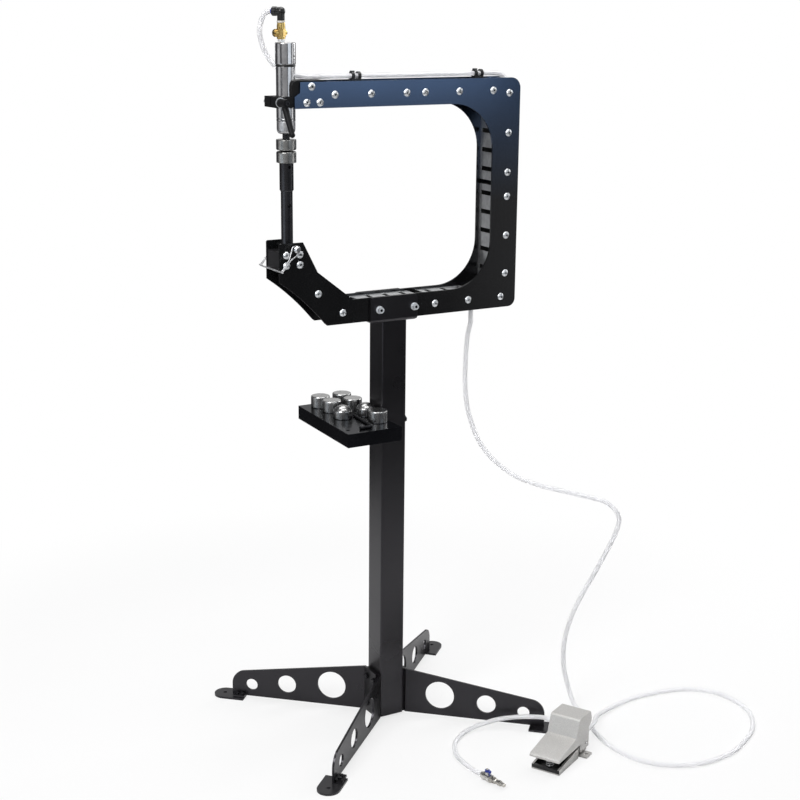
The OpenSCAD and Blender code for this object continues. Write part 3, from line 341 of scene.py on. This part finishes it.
edit_all(handle_nut, "EDGE")
bpy.ops.mesh.bevel(offset=0.0004, segments=2)
edit_done()
even_shading(handle_nut, 32)
handle_nut.data.materials.append(nickel)
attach(handle_nut, "ball_valve_handle")

# Floor and light
# A pale round floor that fades to white, soft lamps above, at the front left and at the right.
# Cards that only shiny faces mirror: a cool one at the front right, pale ones behind the camera and beside it.
def seen_directly(tree):
    # 1 for what the camera sees, bare or through the clear hose
    rays = tree.nodes.new("ShaderNodeLightPath")
    either = tree.nodes.new("ShaderNodeMath")
    either.operation = "MAXIMUM"
    tree.links.new(rays.outputs["Is Camera Ray"], either.inputs[0])
    tree.links.new(rays.outputs["Is Transmission Ray"], either.inputs[1])
    return either.outputs["Value"]


FADE_FROM, FADE_TO, FLOOR_R = 0.9, 1.6, 1.62
nothing_selected()
bpy.ops.mesh.primitive_circle_add(vertices=96, radius=FLOOR_R, fill_type="NGON", location=(0, 0, 0))
floor = bpy.context.object
floor.name = "floor"
floor_white, tree, shader = finish("floor_white", (0.9, 0.9, 0.9), 0.0, 0.9)
shader.inputs["Specular IOR Level"].default_value = 0.0
where = tree.nodes.new("ShaderNodeTexCoord")
reach = tree.nodes.new("ShaderNodeVectorMath")
reach.operation = "LENGTH"
edge = tree.nodes.new("ShaderNodeMapRange")
edge.interpolation_type = "SMOOTHSTEP"
edge.inputs["From Min"].default_value = FADE_FROM
edge.inputs["From Max"].default_value = FADE_TO
edge.inputs["To Min"].default_value = 0.72
seen = tree.nodes.new("ShaderNodeMath")
seen.operation = "MULTIPLY"
glow = tree.nodes.new("ShaderNodeEmission")
glow.inputs["Color"].default_value = (1, 1, 1, 1)
both = tree.nodes.new("ShaderNodeMixShader")
out = tree.nodes["Material Output"]
tree.links.new(where.outputs["Object"], reach.inputs[0])
tree.links.new(reach.outputs["Value"], edge.inputs["Value"])
tree.links.new(edge.outputs["Result"], seen.inputs[0])
tree.links.new(seen_directly(tree), seen.inputs[1])
tree.links.new(seen.outputs["Value"], both.inputs["Fac"])
tree.links.new(shader.outputs["BSDF"], both.inputs[1])
tree.links.new(glow.outputs["Emission"], both.inputs[2])
tree.links.new(both.outputs["Shader"], out.inputs["Surface"])
floor_white.cycles.emission_sampling = "NONE"
floor.data.materials.append(floor_white)

world = bpy.data.worlds.new("studio")
bpy.context.scene.world = world
world.use_nodes = True
tree = world.node_tree
sky = tree.nodes["Background"]
where = tree.nodes.new("ShaderNodeTexCoord")
ahead = tree.nodes.new("ShaderNodeVectorMath")
ahead.operation = "DOT_PRODUCT"
ahead.inputs[1].default_value = (0.45, 0.78, 0.43)
ramp = tree.nodes.new("ShaderNodeValToRGB")
ramp.color_ramp.elements[0].position = 0.955
ramp.color_ramp.elements[0].color = (0.075, 0.075, 0.08, 1)
ramp.color_ramp.elements[1].position = 0.99
ramp.color_ramp.elements[1].color = (0.7, 0.7, 0.7, 1)
half = tree.nodes.new("ShaderNodeMapRange")
half.inputs["From Min"].default_value = -1
half.inputs["From Max"].default_value = 1
white = tree.nodes.new("ShaderNodeMixRGB")
white.inputs["Color2"].default_value = (1, 1, 1, 1)
tree.links.new(where.outputs["Generated"], ahead.inputs[0])
tree.links.new(ahead.outputs["Value"], half.inputs["Value"])
tree.links.new(half.outputs["Result"], ramp.inputs["Fac"])
tree.links.new(ramp.outputs["Color"], white.inputs["Color1"])
tree.links.new(seen_directly(tree), white.inputs["Fac"])
tree.links.new(white.outputs["Color"], sky.inputs["Color"])


def soft_lamp(name, place, aim, wide, high, watts, colour):
    lamp = bpy.data.lights.new(name, "AREA")
    lamp.shape = "RECTANGLE"
    lamp.size, lamp.size_y = wide, high
    lamp.energy = watts
    lamp.color = colour
    holder = bpy.data.objects.new(name, lamp)
    bpy.context.scene.collection.objects.link(holder)
    turn = (Vector(aim) - Vector(place)).to_track_quat("-Z", "Y").to_matrix().to_4x4()
    holder.matrix_world = Matrix.Translation(place) @ turn
    return holder


soft_lamp("lamp_front_left", (-2.6, -1.4, 2.9), (0, 0, 0.8), 1.6, 1.6, 78, (1, 1, 1))
soft_lamp("lamp_above", (0.2, 0.2, 3.6), (0.2, 0.1, 0), 2.4, 2.4, 80, (1, 1, 1))
soft_lamp("lamp_right", (2.8, 0.3, 2.2), (0.2, 0, 0.7), 1.2, 1.8, 36, (1, 1, 1))
for card in (
        soft_lamp("cool_card", (0.86, -2.4, 1.9), (0.86, 0, 1.9), 1.95, 1.4, 11.2, (0.86, 0.93, 1.0)),
        soft_lamp("white_card", (-2.48, -3.07, 1.4), (0, 0, 1.4), 4.2, 2.5, 10, (1, 1, 1)),
        soft_lamp("edge_card", (2.25, -1.3, 1.5), (0, 0, 1.5), 0.6, 1.8, 4.4, (1, 1, 1)),
        soft_lamp("low_card", (2.1, -1.8, 0.72), (0.3, 0, 1.0), 1.35, 0.85, 1.2, (1, 1, 1)),
        soft_lamp("left_card", (-2.9, 0.78, 1.0), (0, 0, 1.0), 1.6, 1.8, 5.4, (1, 1, 1)),
        soft_lamp("pedal_card", (-1.75, -0.26, 0.8), (0.16, -0.42, 0.06), 0.9, 0.7, 3.4, (0.82, 0.91, 1.0)),
        soft_lamp("back_card", (-0.5, 1.27, 0.85), (0.25, 0, 1.0), 0.4, 0.3, 0.22, (1, 1, 1))):
    card.visible_diffuse = False
    card.visible_camera = False

# Stand: post, legs and foot pads
# A 60 mm square tube with four bent 5 mm plate legs bolted to two faces, and a drilled pad under each leg.
# All are cut and bent steel in satin black powder coat.
def coated(name, dark, light, rough_low, rough_high, sheen=(1, 1, 1)):
    made, tree, shader = finish(name, light, 0.0, rough_high)
    shader.inputs["Specular IOR Level"].default_value = 0.55
    shader.inputs["Specular Tint"].default_value = (*sheen, 1)
    cloud = grain(tree, 0.12, detail=4)
    colour_from(tree, shader, cloud, dark, light)
    roughness_from(tree, shader, cloud, rough_low, rough_high)
    bumps_from(tree, shader, grain(tree, 0.0016, detail=2), 0.06, 0.0002)
    return made


black_coat = coated("black_coat", (0.0040, 0.0038, 0.0042), (0.0062, 0.0060, 0.0068), 0.26, 0.34,
                    (0.95, 0.92, 1.0))
from_node("post_tube", "post", "stand", black_coat, edge=0.0004)
for corner in ("front_left", "front_right", "back_left", "back_right"):
    from_node("leg_plate_" + corner, "leg_" + corner, "stand", black_coat, edge=0.0007)
from_node("pads_under_legs", "foot_pads", "stand", black_coat, edge=0.0007)

# Bolts and nuts of the stand
# Hexagon bolts through legs, post and tray, short ones at the foot pads, and M8 nuts, all black oxide steel.
# Rolled and cut from bar, so the corners carry a thin bright edge.
# The same finish also serves as painted shade in the hex sockets of the zinc screws.
black_oxide, tree, shader = finish("black_oxide", (0.02, 0.02, 0.022), 0.75, 0.3)
colour_from(tree, shader, grain(tree, 0.01, detail=4), (0.022, 0.022, 0.025), (0.045, 0.045, 0.05))
roughness_from(tree, shader, grain(tree, 0.004, detail=3), 0.22, 0.34)
for name, node in (("pad_bolts", "foot_bolts"), ("leg_bolts", "through_bolts"), ("hexagon_nuts", "m8_nuts")):
    from_node(name, node, "stand", black_oxide, edge=0.0005, segments=1)

# Tray
# A folded sheet tray open underneath, bolted to the left face of the post, with a hang hole in one corner.
# Steel sheet bent on a brake and powder coated black like the stand.
tray_coat = coated("tray_coat", (0.036, 0.038, 0.044), (0.050, 0.052, 0.060), 0.16, 0.22, (0.72, 0.72, 0.72))
tray_coat.node_tree.nodes["Principled BSDF"].inputs["Metallic"].default_value = 1.0
from_node("tray_sheet", "tray", "stand", tray_coat, edge=0.0018, segments=4)

# Saddle and frame plates
# A bent saddle on the post head carries two laser cut 4 mm plates, screwed together over slotted strips.
# Steel with a glossier black coat that mirrors the room, with a painted blue sheen in its reflections that
# grows towards the upper arm.
frame_coat = coated("frame_coat", (0.0036, 0.0037, 0.0040), (0.0055, 0.0057, 0.0062), 0.18, 0.22)
tree = frame_coat.node_tree
shader = tree.nodes["Principled BSDF"]
shader.inputs["IOR"].default_value = 1.9
shader.inputs["Specular IOR Level"].default_value = 1.0
# Painted sheen: the tint of the reflections is ramped by height, from a dim neutral grey low on the column to
# blue on the upper arm.
where = tree.nodes.new("ShaderNodeTexCoord")
apart = tree.nodes.new("ShaderNodeSeparateXYZ")
height = tree.nodes.new("ShaderNodeMapRange")
height.inputs["From Min"].default_value = 1.18
height.inputs["From Max"].default_value = 1.43
cast = tree.nodes.new("ShaderNodeValToRGB")
cast.color_ramp.elements[0].color = (0.235, 0.235, 0.24, 1)
cast.color_ramp.elements[1].color = (0.34, 0.53, 0.92, 1)
tree.links.new(where.outputs["Object"], apart.inputs["Vector"])
tree.links.new(apart.outputs["Z"], height.inputs["Value"])
tree.links.new(height.outputs["Result"], cast.inputs["Fac"])
tree.links.new(cast.outputs["Color"], shader.inputs["Specular Tint"])
from_node("saddle_bracket", "saddle", "stand", black_coat, edge=0.0008)
for side in ("front", "back"):
    from_node("side_plate_" + side, "frame_plate_" + side, "stand", frame_coat, edge=0.0006)
zinc = plated("zinc_plate", (0.62, 0.64, 0.66), (0.76, 0.78, 0.80), 0.30, 0.42)
cloudy_zinc = plated("cloudy_zinc", (0.74, 0.76, 0.78), (0.86, 0.88, 0.90), 0.5, 0.6)
saddle_screws = from_node("saddle_screws", "saddle_bolts", "stand", cloudy_zinc, edge=0.0006)
saddle_screws.data.materials.append(black_oxide)
SCREW_X, SCREW_Z, SOCKET_R = 0.043, 0.9625, 0.0045
# Painted shade: the walls and floor of each hex socket take the black oxide finish instead of the zinc.
for face in saddle_screws.data.polygons:
    at = face.center
    in_shaded_socket = at.y < -0.0435 and math.hypot(abs(at.x) - SCREW_X, at.z - SCREW_Z) < SOCKET_R
    face.material_index = 1 if in_shaded_socket and (abs(face.normal.y) < 0.2 or at.y > -0.0445) else 0

# Slotted strips and frame screws
# Zinc coated slotted channel between the plates, and button head screws with a hexagon socket in both plates.
# Rolled from coated strip, so the zinc shows a fine spangle; the inner walls of the channel and of its slots,
# and the screw sockets, are painted dark as shade.
strip_zinc, tree, shader = finish("strip_zinc", (0.5, 0.5, 0.5), 1.0, 0.4)
spangle = grain(tree, 0.009, detail=1)
colour_from(tree, shader, spangle, (0.60, 0.61, 0.62), (0.72, 0.73, 0.74))
roughness_from(tree, shader, grain(tree, 0.03, detail=4), 0.34, 0.44)
# Painted shade: the inner walls of the channel and the walls of its slots take this dark grey instead of zinc.
strip_inside_shade, tree, shader = finish("strip_inside_shade", (0.05, 0.05, 0.05), 0.6, 0.6)
colour_from(tree, shader, grain(tree, 0.02), (0.03, 0.03, 0.03), (0.06, 0.06, 0.06))
for place in ("top", "right", "bottom"):
    strips = from_node("slotted_strips_" + place, "spine_" + place, "stand", strip_zinc, edge=0.0004,
                       segments=1)
    strips.data.materials.append(strip_inside_shade)
    across = 0 if place == "right" else 2
    depths = [v.co[across] for v in strips.data.vertices]
    # Faces between the outer faces of the channel get the painted shade.
    for face in strips.data.polygons:
        at = face.center
        painted_shade_within = min(depths) + 0.0018 < at[across] < max(depths) - 0.0018 and abs(at.y) < 0.0262
        face.material_index = 1 if painted_shade_within else 0
buttons = from_node("button_screws", "frame_screws", "stand", zinc, edge=0.0004, segments=1)
buttons.data.materials.append(black_oxide)
# Painted shade: the walls and floor of each hex socket take the black oxide finish instead of the zinc.
for face in buttons.data.polygons:
    far, turn = abs(face.center.y), abs(face.normal.y)
    face.material_index = 1 if far > 0.0335 and (turn < 0.2 or turn > 0.95 and far < 0.0343) else 0

# Hose clips
# Two clips pushed into slots of the top strip, each with a pair of snap rings round the hose.
# Moulded in black plastic with a finely eroded surface.
# The same black finish also serves as painted shade inside the pedal base.
black_moulding_and_pedal_shade, tree, shader = finish("black_moulding_and_pedal_shade", (0.010, 0.010, 0.011), 0.0, 0.32)
colour_from(tree, shader, grain(tree, 0.02), (0.007, 0.007, 0.008), (0.012, 0.012, 0.013))
roughness_from(tree, shader, grain(tree, 0.01), 0.24, 0.36)
bumps_from(tree, shader, grain(tree, 0.0008, detail=2), 0.08, 0.0002)
from_node("snap_clips", "hose_clips", "stand", black_moulding_and_pedal_shade, edge=0.0006)

# Hammer holder with its clamp
# A split steel block between the plates grips the barrel, and a stud with a washer draws the split together.
# The cast lever is held on the stud by a black socket screw in its hub.
dull_black, tree, shader = finish("dull_black", (0.008, 0.008, 0.009), 0.0, 0.5)
shader.inputs["Specular IOR Level"].default_value = 0.17
colour_from(tree, shader, grain(tree, 0.02, detail=4), (0.007, 0.007, 0.008), (0.011, 0.011, 0.012))
roughness_from(tree, shader, grain(tree, 0.006, detail=3), 0.46, 0.58)
bumps_from(tree, shader, grain(tree, 0.001, detail=2), 0.1, 0.0002)
from_node("holder_block", "hammer_holder", "stand", dull_black, edge=0.0008)
bright_steel = plated("bright_steel", (0.60, 0.60, 0.61), (0.74, 0.74, 0.75), 0.18, 0.3, size=0.006)
from_node("clamp_stud_and_washer", "clamp_stud", "stand", cloudy_zinc, edge=0.0004)
from_node("lever_casting", "clamp_lever", "clamp_lever", dull_black, edge=0.0012, segments=3)
nothing_selected()
bpy.ops.mesh.primitive_cylinder_add(vertices=48, radius=0.0050, depth=0.005,
                                    location=(-0.2684, -0.0602, 1.4035), rotation=(math.radians(90), 0, 0))
lever_screw = bpy.context.object
lever_screw.name = "lever_screw"
bpy.ops.object.transform_apply(location=True, rotation=True, scale=True)
edit_all(lever_screw, "FACE")
bpy.ops.mesh.select_all(action="DESELECT")
edit_done()
for face in lever_screw.data.polygons:
    face.select = face.normal.y < -0.9
bpy.ops.object.mode_set(mode="EDIT")
bpy.ops.mesh.inset(thickness=0.0026)
bpy.ops.mesh.extrude_region_move(TRANSFORM_OT_translate={"value": (0, 0.003, 0)})
edit_done()
eased_edges(lever_screw, 0.0005, 2, 40)
even_shading(lever_screw, 32)
lever_screw.data.materials.append(black_oxide)
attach(lever_screw, "clamp_lever")

# Hammer
# A riveting hammer: turned and polished barrel, a wider head screwed on a seal ring, and a round nose below.
# Ground and polished steel, so the light runs in upright bands.
def turned(name, profile, place, steps=96):
    # Spins a profile of (radius, height) pairs in metres round the upright axis at place
    mesh = bpy.data.meshes.new(name)
    mesh.from_pydata(
        [(place[0] + r, place[1], place[2] + h) for r, h in profile],
        [(i, i + 1) for i in range(len(profile) - 1)], [])
    piece = bpy.data.objects.new(name, mesh)
    bpy.context.scene.collection.objects.link(piece)
    edit_all(piece)
    bpy.ops.mesh.spin(steps=steps, angle=math.tau, center=place, axis=(0, 0, 1))
    merged(piece)
    return piece


def rounded(profile, radius, parts=5):
    # Rounds the inner corners of a profile of (radius, height) pairs
    line = [Vector(p) for p in profile]
    made = [line[0]]
    for before, at, after in zip(line, line[1:], line[2:]):
        back, on = before - at, after - at
        reach = min(radius, 0.45 * back.length, 0.45 * on.length)
        first, last = at + back.normalized() * reach, at + on.normalized() * reach
        for k in range(parts + 1):
            t = k / parts
            made.append((1 - t) ** 2 * first + 2 * t * (1 - t) * at + t * t * last)
    made.append(line[-1])
    return [(p.x, p.y) for p in made]


def placed(piece, body, finish_made, slot, *stands_for):
    even_shading(piece, 35)
    piece.data.materials.clear()
    piece.data.materials.append(finish_made)
    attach(piece, body)
    if stands_for:
        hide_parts(*stands_for)
    return piece


hammer_steel, tree, shader = finish("hammer_steel", (0.5, 0.5, 0.51), 1.0, 0.2)
colour_from(tree, shader, grain(tree, 0.02, detail=3), (0.50, 0.50, 0.51), (0.60, 0.60, 0.61))
streaks = grain(tree, 0.0014, (1, 1, 0.03), detail=2)
roughness_from(tree, shader, streaks, 0.14, 0.24)
bumps_from(tree, shader, streaks, 0.05, 0.0002)
AXIS = (-0.242, 0.0, 0.0)
barrel = turned("barrel_tube", rounded([
    (0.014, 1.365), (0.0194, 1.365), (0.0194, 1.3692), (0.0187, 1.3700), (0.0194, 1.3708), (0.0194, 1.473),
    (0.014, 1.473), (0.014, 1.365)], 0.0004), AXIS)
placed(barrel, "hammer", hammer_steel, "hammer_metal", "hammer_barrel")
head = turned("head_cap", rounded([
    (0, 1.477), (0.0208, 1.477), (0.0208, 1.5205), (0.0160, 1.5205), (0.0155, 1.5202),
    (0, 1.5202)], 0.0022), AXIS)
placed(head, "hammer", hammer_steel, "hammer_metal", "hammer_head")
seal_black, tree, shader = finish("seal_black", (0.012, 0.012, 0.012), 0.0, 0.5)
colour_from(tree, shader, grain(tree, 0.004), (0.008, 0.008, 0.008), (0.014, 0.014, 0.014))
seal = turned("seal_ring", rounded([
    (0, 1.473), (0.0199, 1.473), (0.0203, 1.4742), (0.0203, 1.4758), (0.0199, 1.477),
    (0, 1.477)], 0.0008), AXIS)
placed(seal, "hammer", seal_black, "seal_rubber", "head_seal")
nose = turned("nose_piece", rounded([
    (0.00755, 1.339), (0.0121, 1.339), (0.0158, 1.3405), (0.0180, 1.3435), (0.0191, 1.348), (0.0191, 1.365),
    (0.00755, 1.365), (0.00755, 1.339)], 0.002), AXIS)
satin_steel = plated("satin_steel", (0.50, 0.50, 0.51), (0.60, 0.60, 0.61), 0.34, 0.44, size=0.006)
placed(nose, "hammer", satin_steel, "hammer_metal", "hammer_nose")

# Inlet, flow regulator and elbow
# A nipple wound with white sealing tape, a brass regulator with a knurled side knob, and a black push-in elbow,
# screwed one into the next. The elbow is moulded, with a blue ring in its mouth that lets go of the hose.
taped = plated("taped_nickel", (0.80, 0.80, 0.79), (0.90, 0.90, 0.89), 0.38, 0.5, size=0.002)
brass = plated("brass", (0.58, 0.40, 0.13), (0.76, 0.56, 0.22), 0.2, 0.34)
from_node("taped_nipple", "inlet_nipple", "hammer", taped, edge=0.0005)
from_node("regulator_housing", "regulator_body", "hammer", brass, edge=0.0006)
from_node("knurled_knob", "regulator_knob", "regulator_knob", brass, edge=0.0004)
elbow = from_node("push_in_elbow", "elbow", "hammer", black_moulding_and_pedal_shade, edge=0.0012, segments=3)
elbow.data.materials.append(blue_moulding)
INLET_X, ELBOW_Z = -0.251, 1.581
outlet = Vector((math.cos(math.radians(127)), math.sin(math.radians(127)), 0))
for face in elbow.data.polygons:
    face.material_index = 1 if (face.center - Vector((INLET_X, 0, ELBOW_Z))).dot(outlet) > 0.0166 else 0
tape_white, tree, shader = finish("tape_white", (0.8, 0.78, 0.74), 0.0, 0.5)
colour_from(tree, shader, grain(tree, 0.002, (1, 1, 3)), (0.70, 0.67, 0.62), (0.86, 0.84, 0.80))
tape = turned("sealing_tape", [
    (0.0081, 1.5592), (0.0084, 1.5596), (0.0084, 1.5624), (0.0081, 1.5628), (0.0078, 1.5628), (0.0078, 1.5592),
    (0.0081, 1.5592)], (INLET_X, 0, 0))
placed(tape, "hammer", tape_white, "nickel")

# Ram and dies in use
# A black oxide ram carries the upper die, and the lower die sits on the spigot of a screwed sleeve.
# The dies are turned and polished tool steel with well rounded rims.
def tool_steel(name, dark, light):
    made, tree, shader = finish(name, light, 1.0, 0.3)
    colour_from(tree, shader, grain(tree, 0.008, detail=4), dark, light)
    brushed = grain(tree, 0.0016, (1, 1, 0.05), detail=2)
    roughness_from(tree, shader, brushed, 0.2, 0.34)
    bumps_from(tree, shader, brushed, 0.12, 0.0002)
    return made


die_steel = tool_steel("die_steel", (0.43, 0.43, 0.425), (0.57, 0.57, 0.565))
# The dies in use take a darker copy of the die steel.
darker_die_steel = tool_steel("darker_die_steel", (0.28, 0.28, 0.27), (0.40, 0.40, 0.39))
from_node("ram_rod", "ram_shank", "ram", black_oxide, edge=0.0006)
upper = turned("upper_die_body", rounded([
    (0, 1.3065), (0.0190, 1.3065), (0.0207, 1.3082), (0.0207, 1.328), (0.0076, 1.328), (0.0076, 1.3145),
    (0, 1.3145)], 0.0016), AXIS)
placed(upper, "ram", darker_die_steel, "die_steel", "upper_die")
crown = [(0.0171 * k / 8, 1.305 - 0.001 * (k / 8) ** 2) for k in range(8, 0, -1)]
lower = turned("lower_die_body", rounded([
    (0.00805, 1.281), (0.0205, 1.281), (0.0205, 1.3020), (0.0190, 1.3036)], 0.0012) + crown + [
    (0, 1.305), (0, 1.2905), (0.00805, 1.2905), (0.00805, 1.281)], AXIS)
placed(lower, "anvil_carriage", darker_die_steel, "die_steel", "lower_die")
blued_steel, tree, shader = finish("blued_steel", (0.03, 0.03, 0.034), 0.7, 0.26)
colour_from(tree, shader, grain(tree, 0.03), (0.028, 0.028, 0.032), (0.036, 0.036, 0.040))
roughness_from(tree, shader, grain(tree, 0.002, (1, 1, 0.1)), 0.22, 0.3)
from_node("screwed_sleeve", "anvil_sleeve", "anvil_sleeve", blued_steel, edge=0.0006)
from_node("anvil_rod", "anvil_post", "stand", blued_steel, edge=0.0006)

# Anvil block, lock pin and bail
# A block between the jaw plates takes the anvil post, and a turned pin locks its height.
# A spring wire bail, bent from one length, hinges in the pin's head and hooks under its tip.
from_node("anvil_block_body", "anvil_block", "stand", black_coat, edge=0.0006)
from_node("turned_lock_pin", "lock_pin", "stand", bright_steel, edge=0.0006)
BAIL_DROP, BAIL_END = math.radians(180 - 49.2), 95.0
bail_half = [
    (0, 0, 3), (0, 0, 8), (0.6, -0.1, 9.6), (2.2, -0.4, 10.2), (6, -1, 9.2), (24, -4, 2.8), (34, -5.5, 1.6),
    (52, -7.8, 1.45), (56.6, -6.5, 1.45), (58, -3, 1.45), (58, BAIL_END - 5, 1.45),
    (56.6, BAIL_END - 1.4, 1.45), (53, BAIL_END, 1.45), (24, BAIL_END, 1.45), (18.5, BAIL_END, 2.3),
    (13.6, BAIL_END, 3.64),
    (10.8, BAIL_END, 4.1), (8.3, BAIL_END, 2.7), (7.3, BAIL_END, 0)]
bail_line = bail_half + [(x, y, -z) for x, y, z in bail_half[-2::-1]]
turn_bail = Matrix.Translation((-0.242, -0.044, 1.108)) @ Matrix.Rotation(BAIL_DROP, 4, "Y")
bail_path = eased_line([turn_bail @ p for p in in_metres(bail_line)], parts=5)
bail = made_mesh(drawn_line("bail_wire", bail_path, 0.00115, sides=14))
merged(bail)
spring_wire = plated("spring_wire", (0.72, 0.72, 0.73), (0.82, 0.82, 0.83), 0.44, 0.54)
placed(bail, "lock_pin_bail", spring_wire, "zinc", "lock_pin_bail")

# Loose dies and hex key on the tray
# Seven spare dies of the same steel, five flat and two domed, stand on their rims over a blind bore.
# The black hex key is drawn hexagon wire, bent once over a mandrel.
TRAY_TOP = 0.720
DOME_R, DOME_Z = 0.024, 0.005
bore = [(0, 0.012), (0.0076, 0.012)]
flat_profile = bore + rounded([
    (0.0078, 0.0), (0.0200, 0.0), (0.0210, 0.001), (0.0210, 0.026), (0, 0.026)], 0.003)
dome_profile = bore + [
    (0.0078, 0.0), (0.0195, 0.0), (0.0206, 0.0008), (0.0210, 0.002), (0.0210, 0.0166)]
dome_profile += [(DOME_R * math.cos(math.radians(a)), DOME_Z + DOME_R * math.sin(math.radians(a)))
                 for a in range(31, 90, 4)] + [(0, 0.029)]
store = [(-106, 117, 0), (-52, 117, 0), (-102, 70, 0), (-52, 66, 0), (-107, 9, 1), (-52, 5, 1), (-54, -53, 0)]
patterns = [turned("flat_die_pattern", flat_profile, (0, 0, 0)),
            turned("dome_die_pattern", dome_profile, (0, 0, 0))]
for number, (x, y, domed) in enumerate(store, 1):
    piece = bpy.data.objects.new("spare_die_%d" % number, patterns[domed].data.copy())
    bpy.context.scene.collection.objects.link(piece)
    piece.data.transform(Matrix.Translation((x / 1000, y / 1000, TRAY_TOP)))
    placed(piece, "tray_die_%d" % number, die_steel, "die_steel", "tray_die_%d" % number)
for pattern in patterns:
    bpy.data.objects.remove(pattern)

KEY_AF, KEY_BEND = 0.006, 0.007
key_from, key_knee, key_end = in_metres([(-80, 8, 723), (-88, -90, 723), (-119, -91, 723)])
along_long, along_short = (key_from - key_knee).normalized(), (key_end - key_knee).normalized()
key_angle = along_long.angle(along_short)
cut_back = KEY_BEND / math.tan(key_angle / 2)
bend_from = key_knee + along_long * cut_back
bend_axis = along_long.cross(along_short).normalized()
bend_centre = bend_from + (along_short - along_short.dot(along_long) * along_long).normalized() * KEY_BEND
nothing_selected()
bpy.ops.mesh.primitive_circle_add(vertices=6, radius=KEY_AF / 2 / math.cos(math.radians(30)),
                                  fill_type="NGON")
key = bpy.context.object
key.name = "hexagon_key"
key.data.transform(Matrix.Rotation(math.radians(30), 4, "Z"))
sideways = Vector((0, 0, 1)).cross(along_long)
key.data.transform(Matrix((
    (0, sideways.x, along_long.x, key_from.x), (0, sideways.y, along_long.y, key_from.y), (1, 0, 0, key_from.z),
    (0, 0, 0, 1))))
edit_all(key, "FACE")
bpy.ops.mesh.extrude_region_move(TRANSFORM_OT_translate={"value": bend_from - key_from})
bpy.ops.mesh.spin(steps=10, angle=math.pi - key_angle, center=bend_centre, axis=bend_axis)
bpy.ops.mesh.extrude_region_move(TRANSFORM_OT_translate={
    "value": along_short * ((key_end - key_knee).length - cut_back)})
merged(key)
eased_edges(key, 0.0003, 2, 40)
placed(key, "hex_key", black_oxide, "black_oxide", "hex_key")

# Foot pedal
# A die cast base and treadle on a cross pin, with a return spring under the toe and an air valve inside.
# The castings are tumbled aluminium with a fine sand texture, and the inside of the base is painted dark as
# shade.
PEDAL = Matrix.Translation((0.156, -0.422, 0)) @ Matrix.Rotation(math.radians(28), 4, "Z")
cast_grey, tree, shader = finish("cast_grey", (0.6, 0.6, 0.59), 0.5, 0.45)
speckle = grain(tree, 0.0012, detail=3)
colour_from(tree, shader, speckle, (0.48, 0.47, 0.455), (0.68, 0.67, 0.65), 0.3, 0.7)
roughness_from(tree, shader, grain(tree, 0.006, detail=4), 0.36, 0.52)
bumps_from(tree, shader, speckle, 0.22, 0.0003)
base = from_node("pedal_casting", "pedal_base", "stand", cast_grey, edge=0.0012, segments=3)
# Painted shade: the floor, the inner walls and the front wall of the base above its lowest 3 mm take the black
# moulding finish.
base.data.materials.append(black_moulding_and_pedal_shade)
edit_all(base)
bpy.ops.mesh.bisect(plane_co=(0, 0, 0.003), plane_no=(0, 0, 1))
edit_done()
to_pedal = PEDAL.inverted()
for face in base.data.polygons:
    at = to_pedal @ face.center
    inside = abs(at.y) < 0.0281 and (at.z > 0.0038 or at.x < 0.0052 and at.z > 0.003)
    face.material_index = 1 if inside else 0
from_node("treadle_casting", "treadle", "treadle", cast_grey, edge=0.0018, segments=4)
from_node("foot_valve_body", "valve_body", "stand", black_moulding_and_pedal_shade, edge=0.0008)
from_node("foot_valve_plunger", "valve_plunger", "valve_plunger", bright_steel, edge=0.0004)
from_node("treadle_cross_pin", "treadle_pin", "stand", bright_steel, edge=0.0005)
SPRING_X, COIL_R, COIL_TURNS, COIL_STEPS = 0.022, 0.008, 6, 16
coil = []
for k in range(COIL_TURNS * COIL_STEPS + 1):
    a = math.tau * k / COIL_STEPS
    rise_to = 0.006 + 0.029 * k / (COIL_TURNS * COIL_STEPS)
    coil.append(PEDAL @ Vector((SPRING_X + COIL_R * math.cos(a), COIL_R * math.sin(a), rise_to)))
spring = made_mesh(drawn_line("toe_spring", eased_line(coil, parts=2), 0.001, sides=12))
merged(spring)
placed(spring, "stand", spring_wire, "zinc", "treadle_spring")
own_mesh(spring)
from_node("pedal_push_fittings", "pedal_fittings", "stand", black_moulding_and_pedal_shade, edge=0.001,
          segments=3)
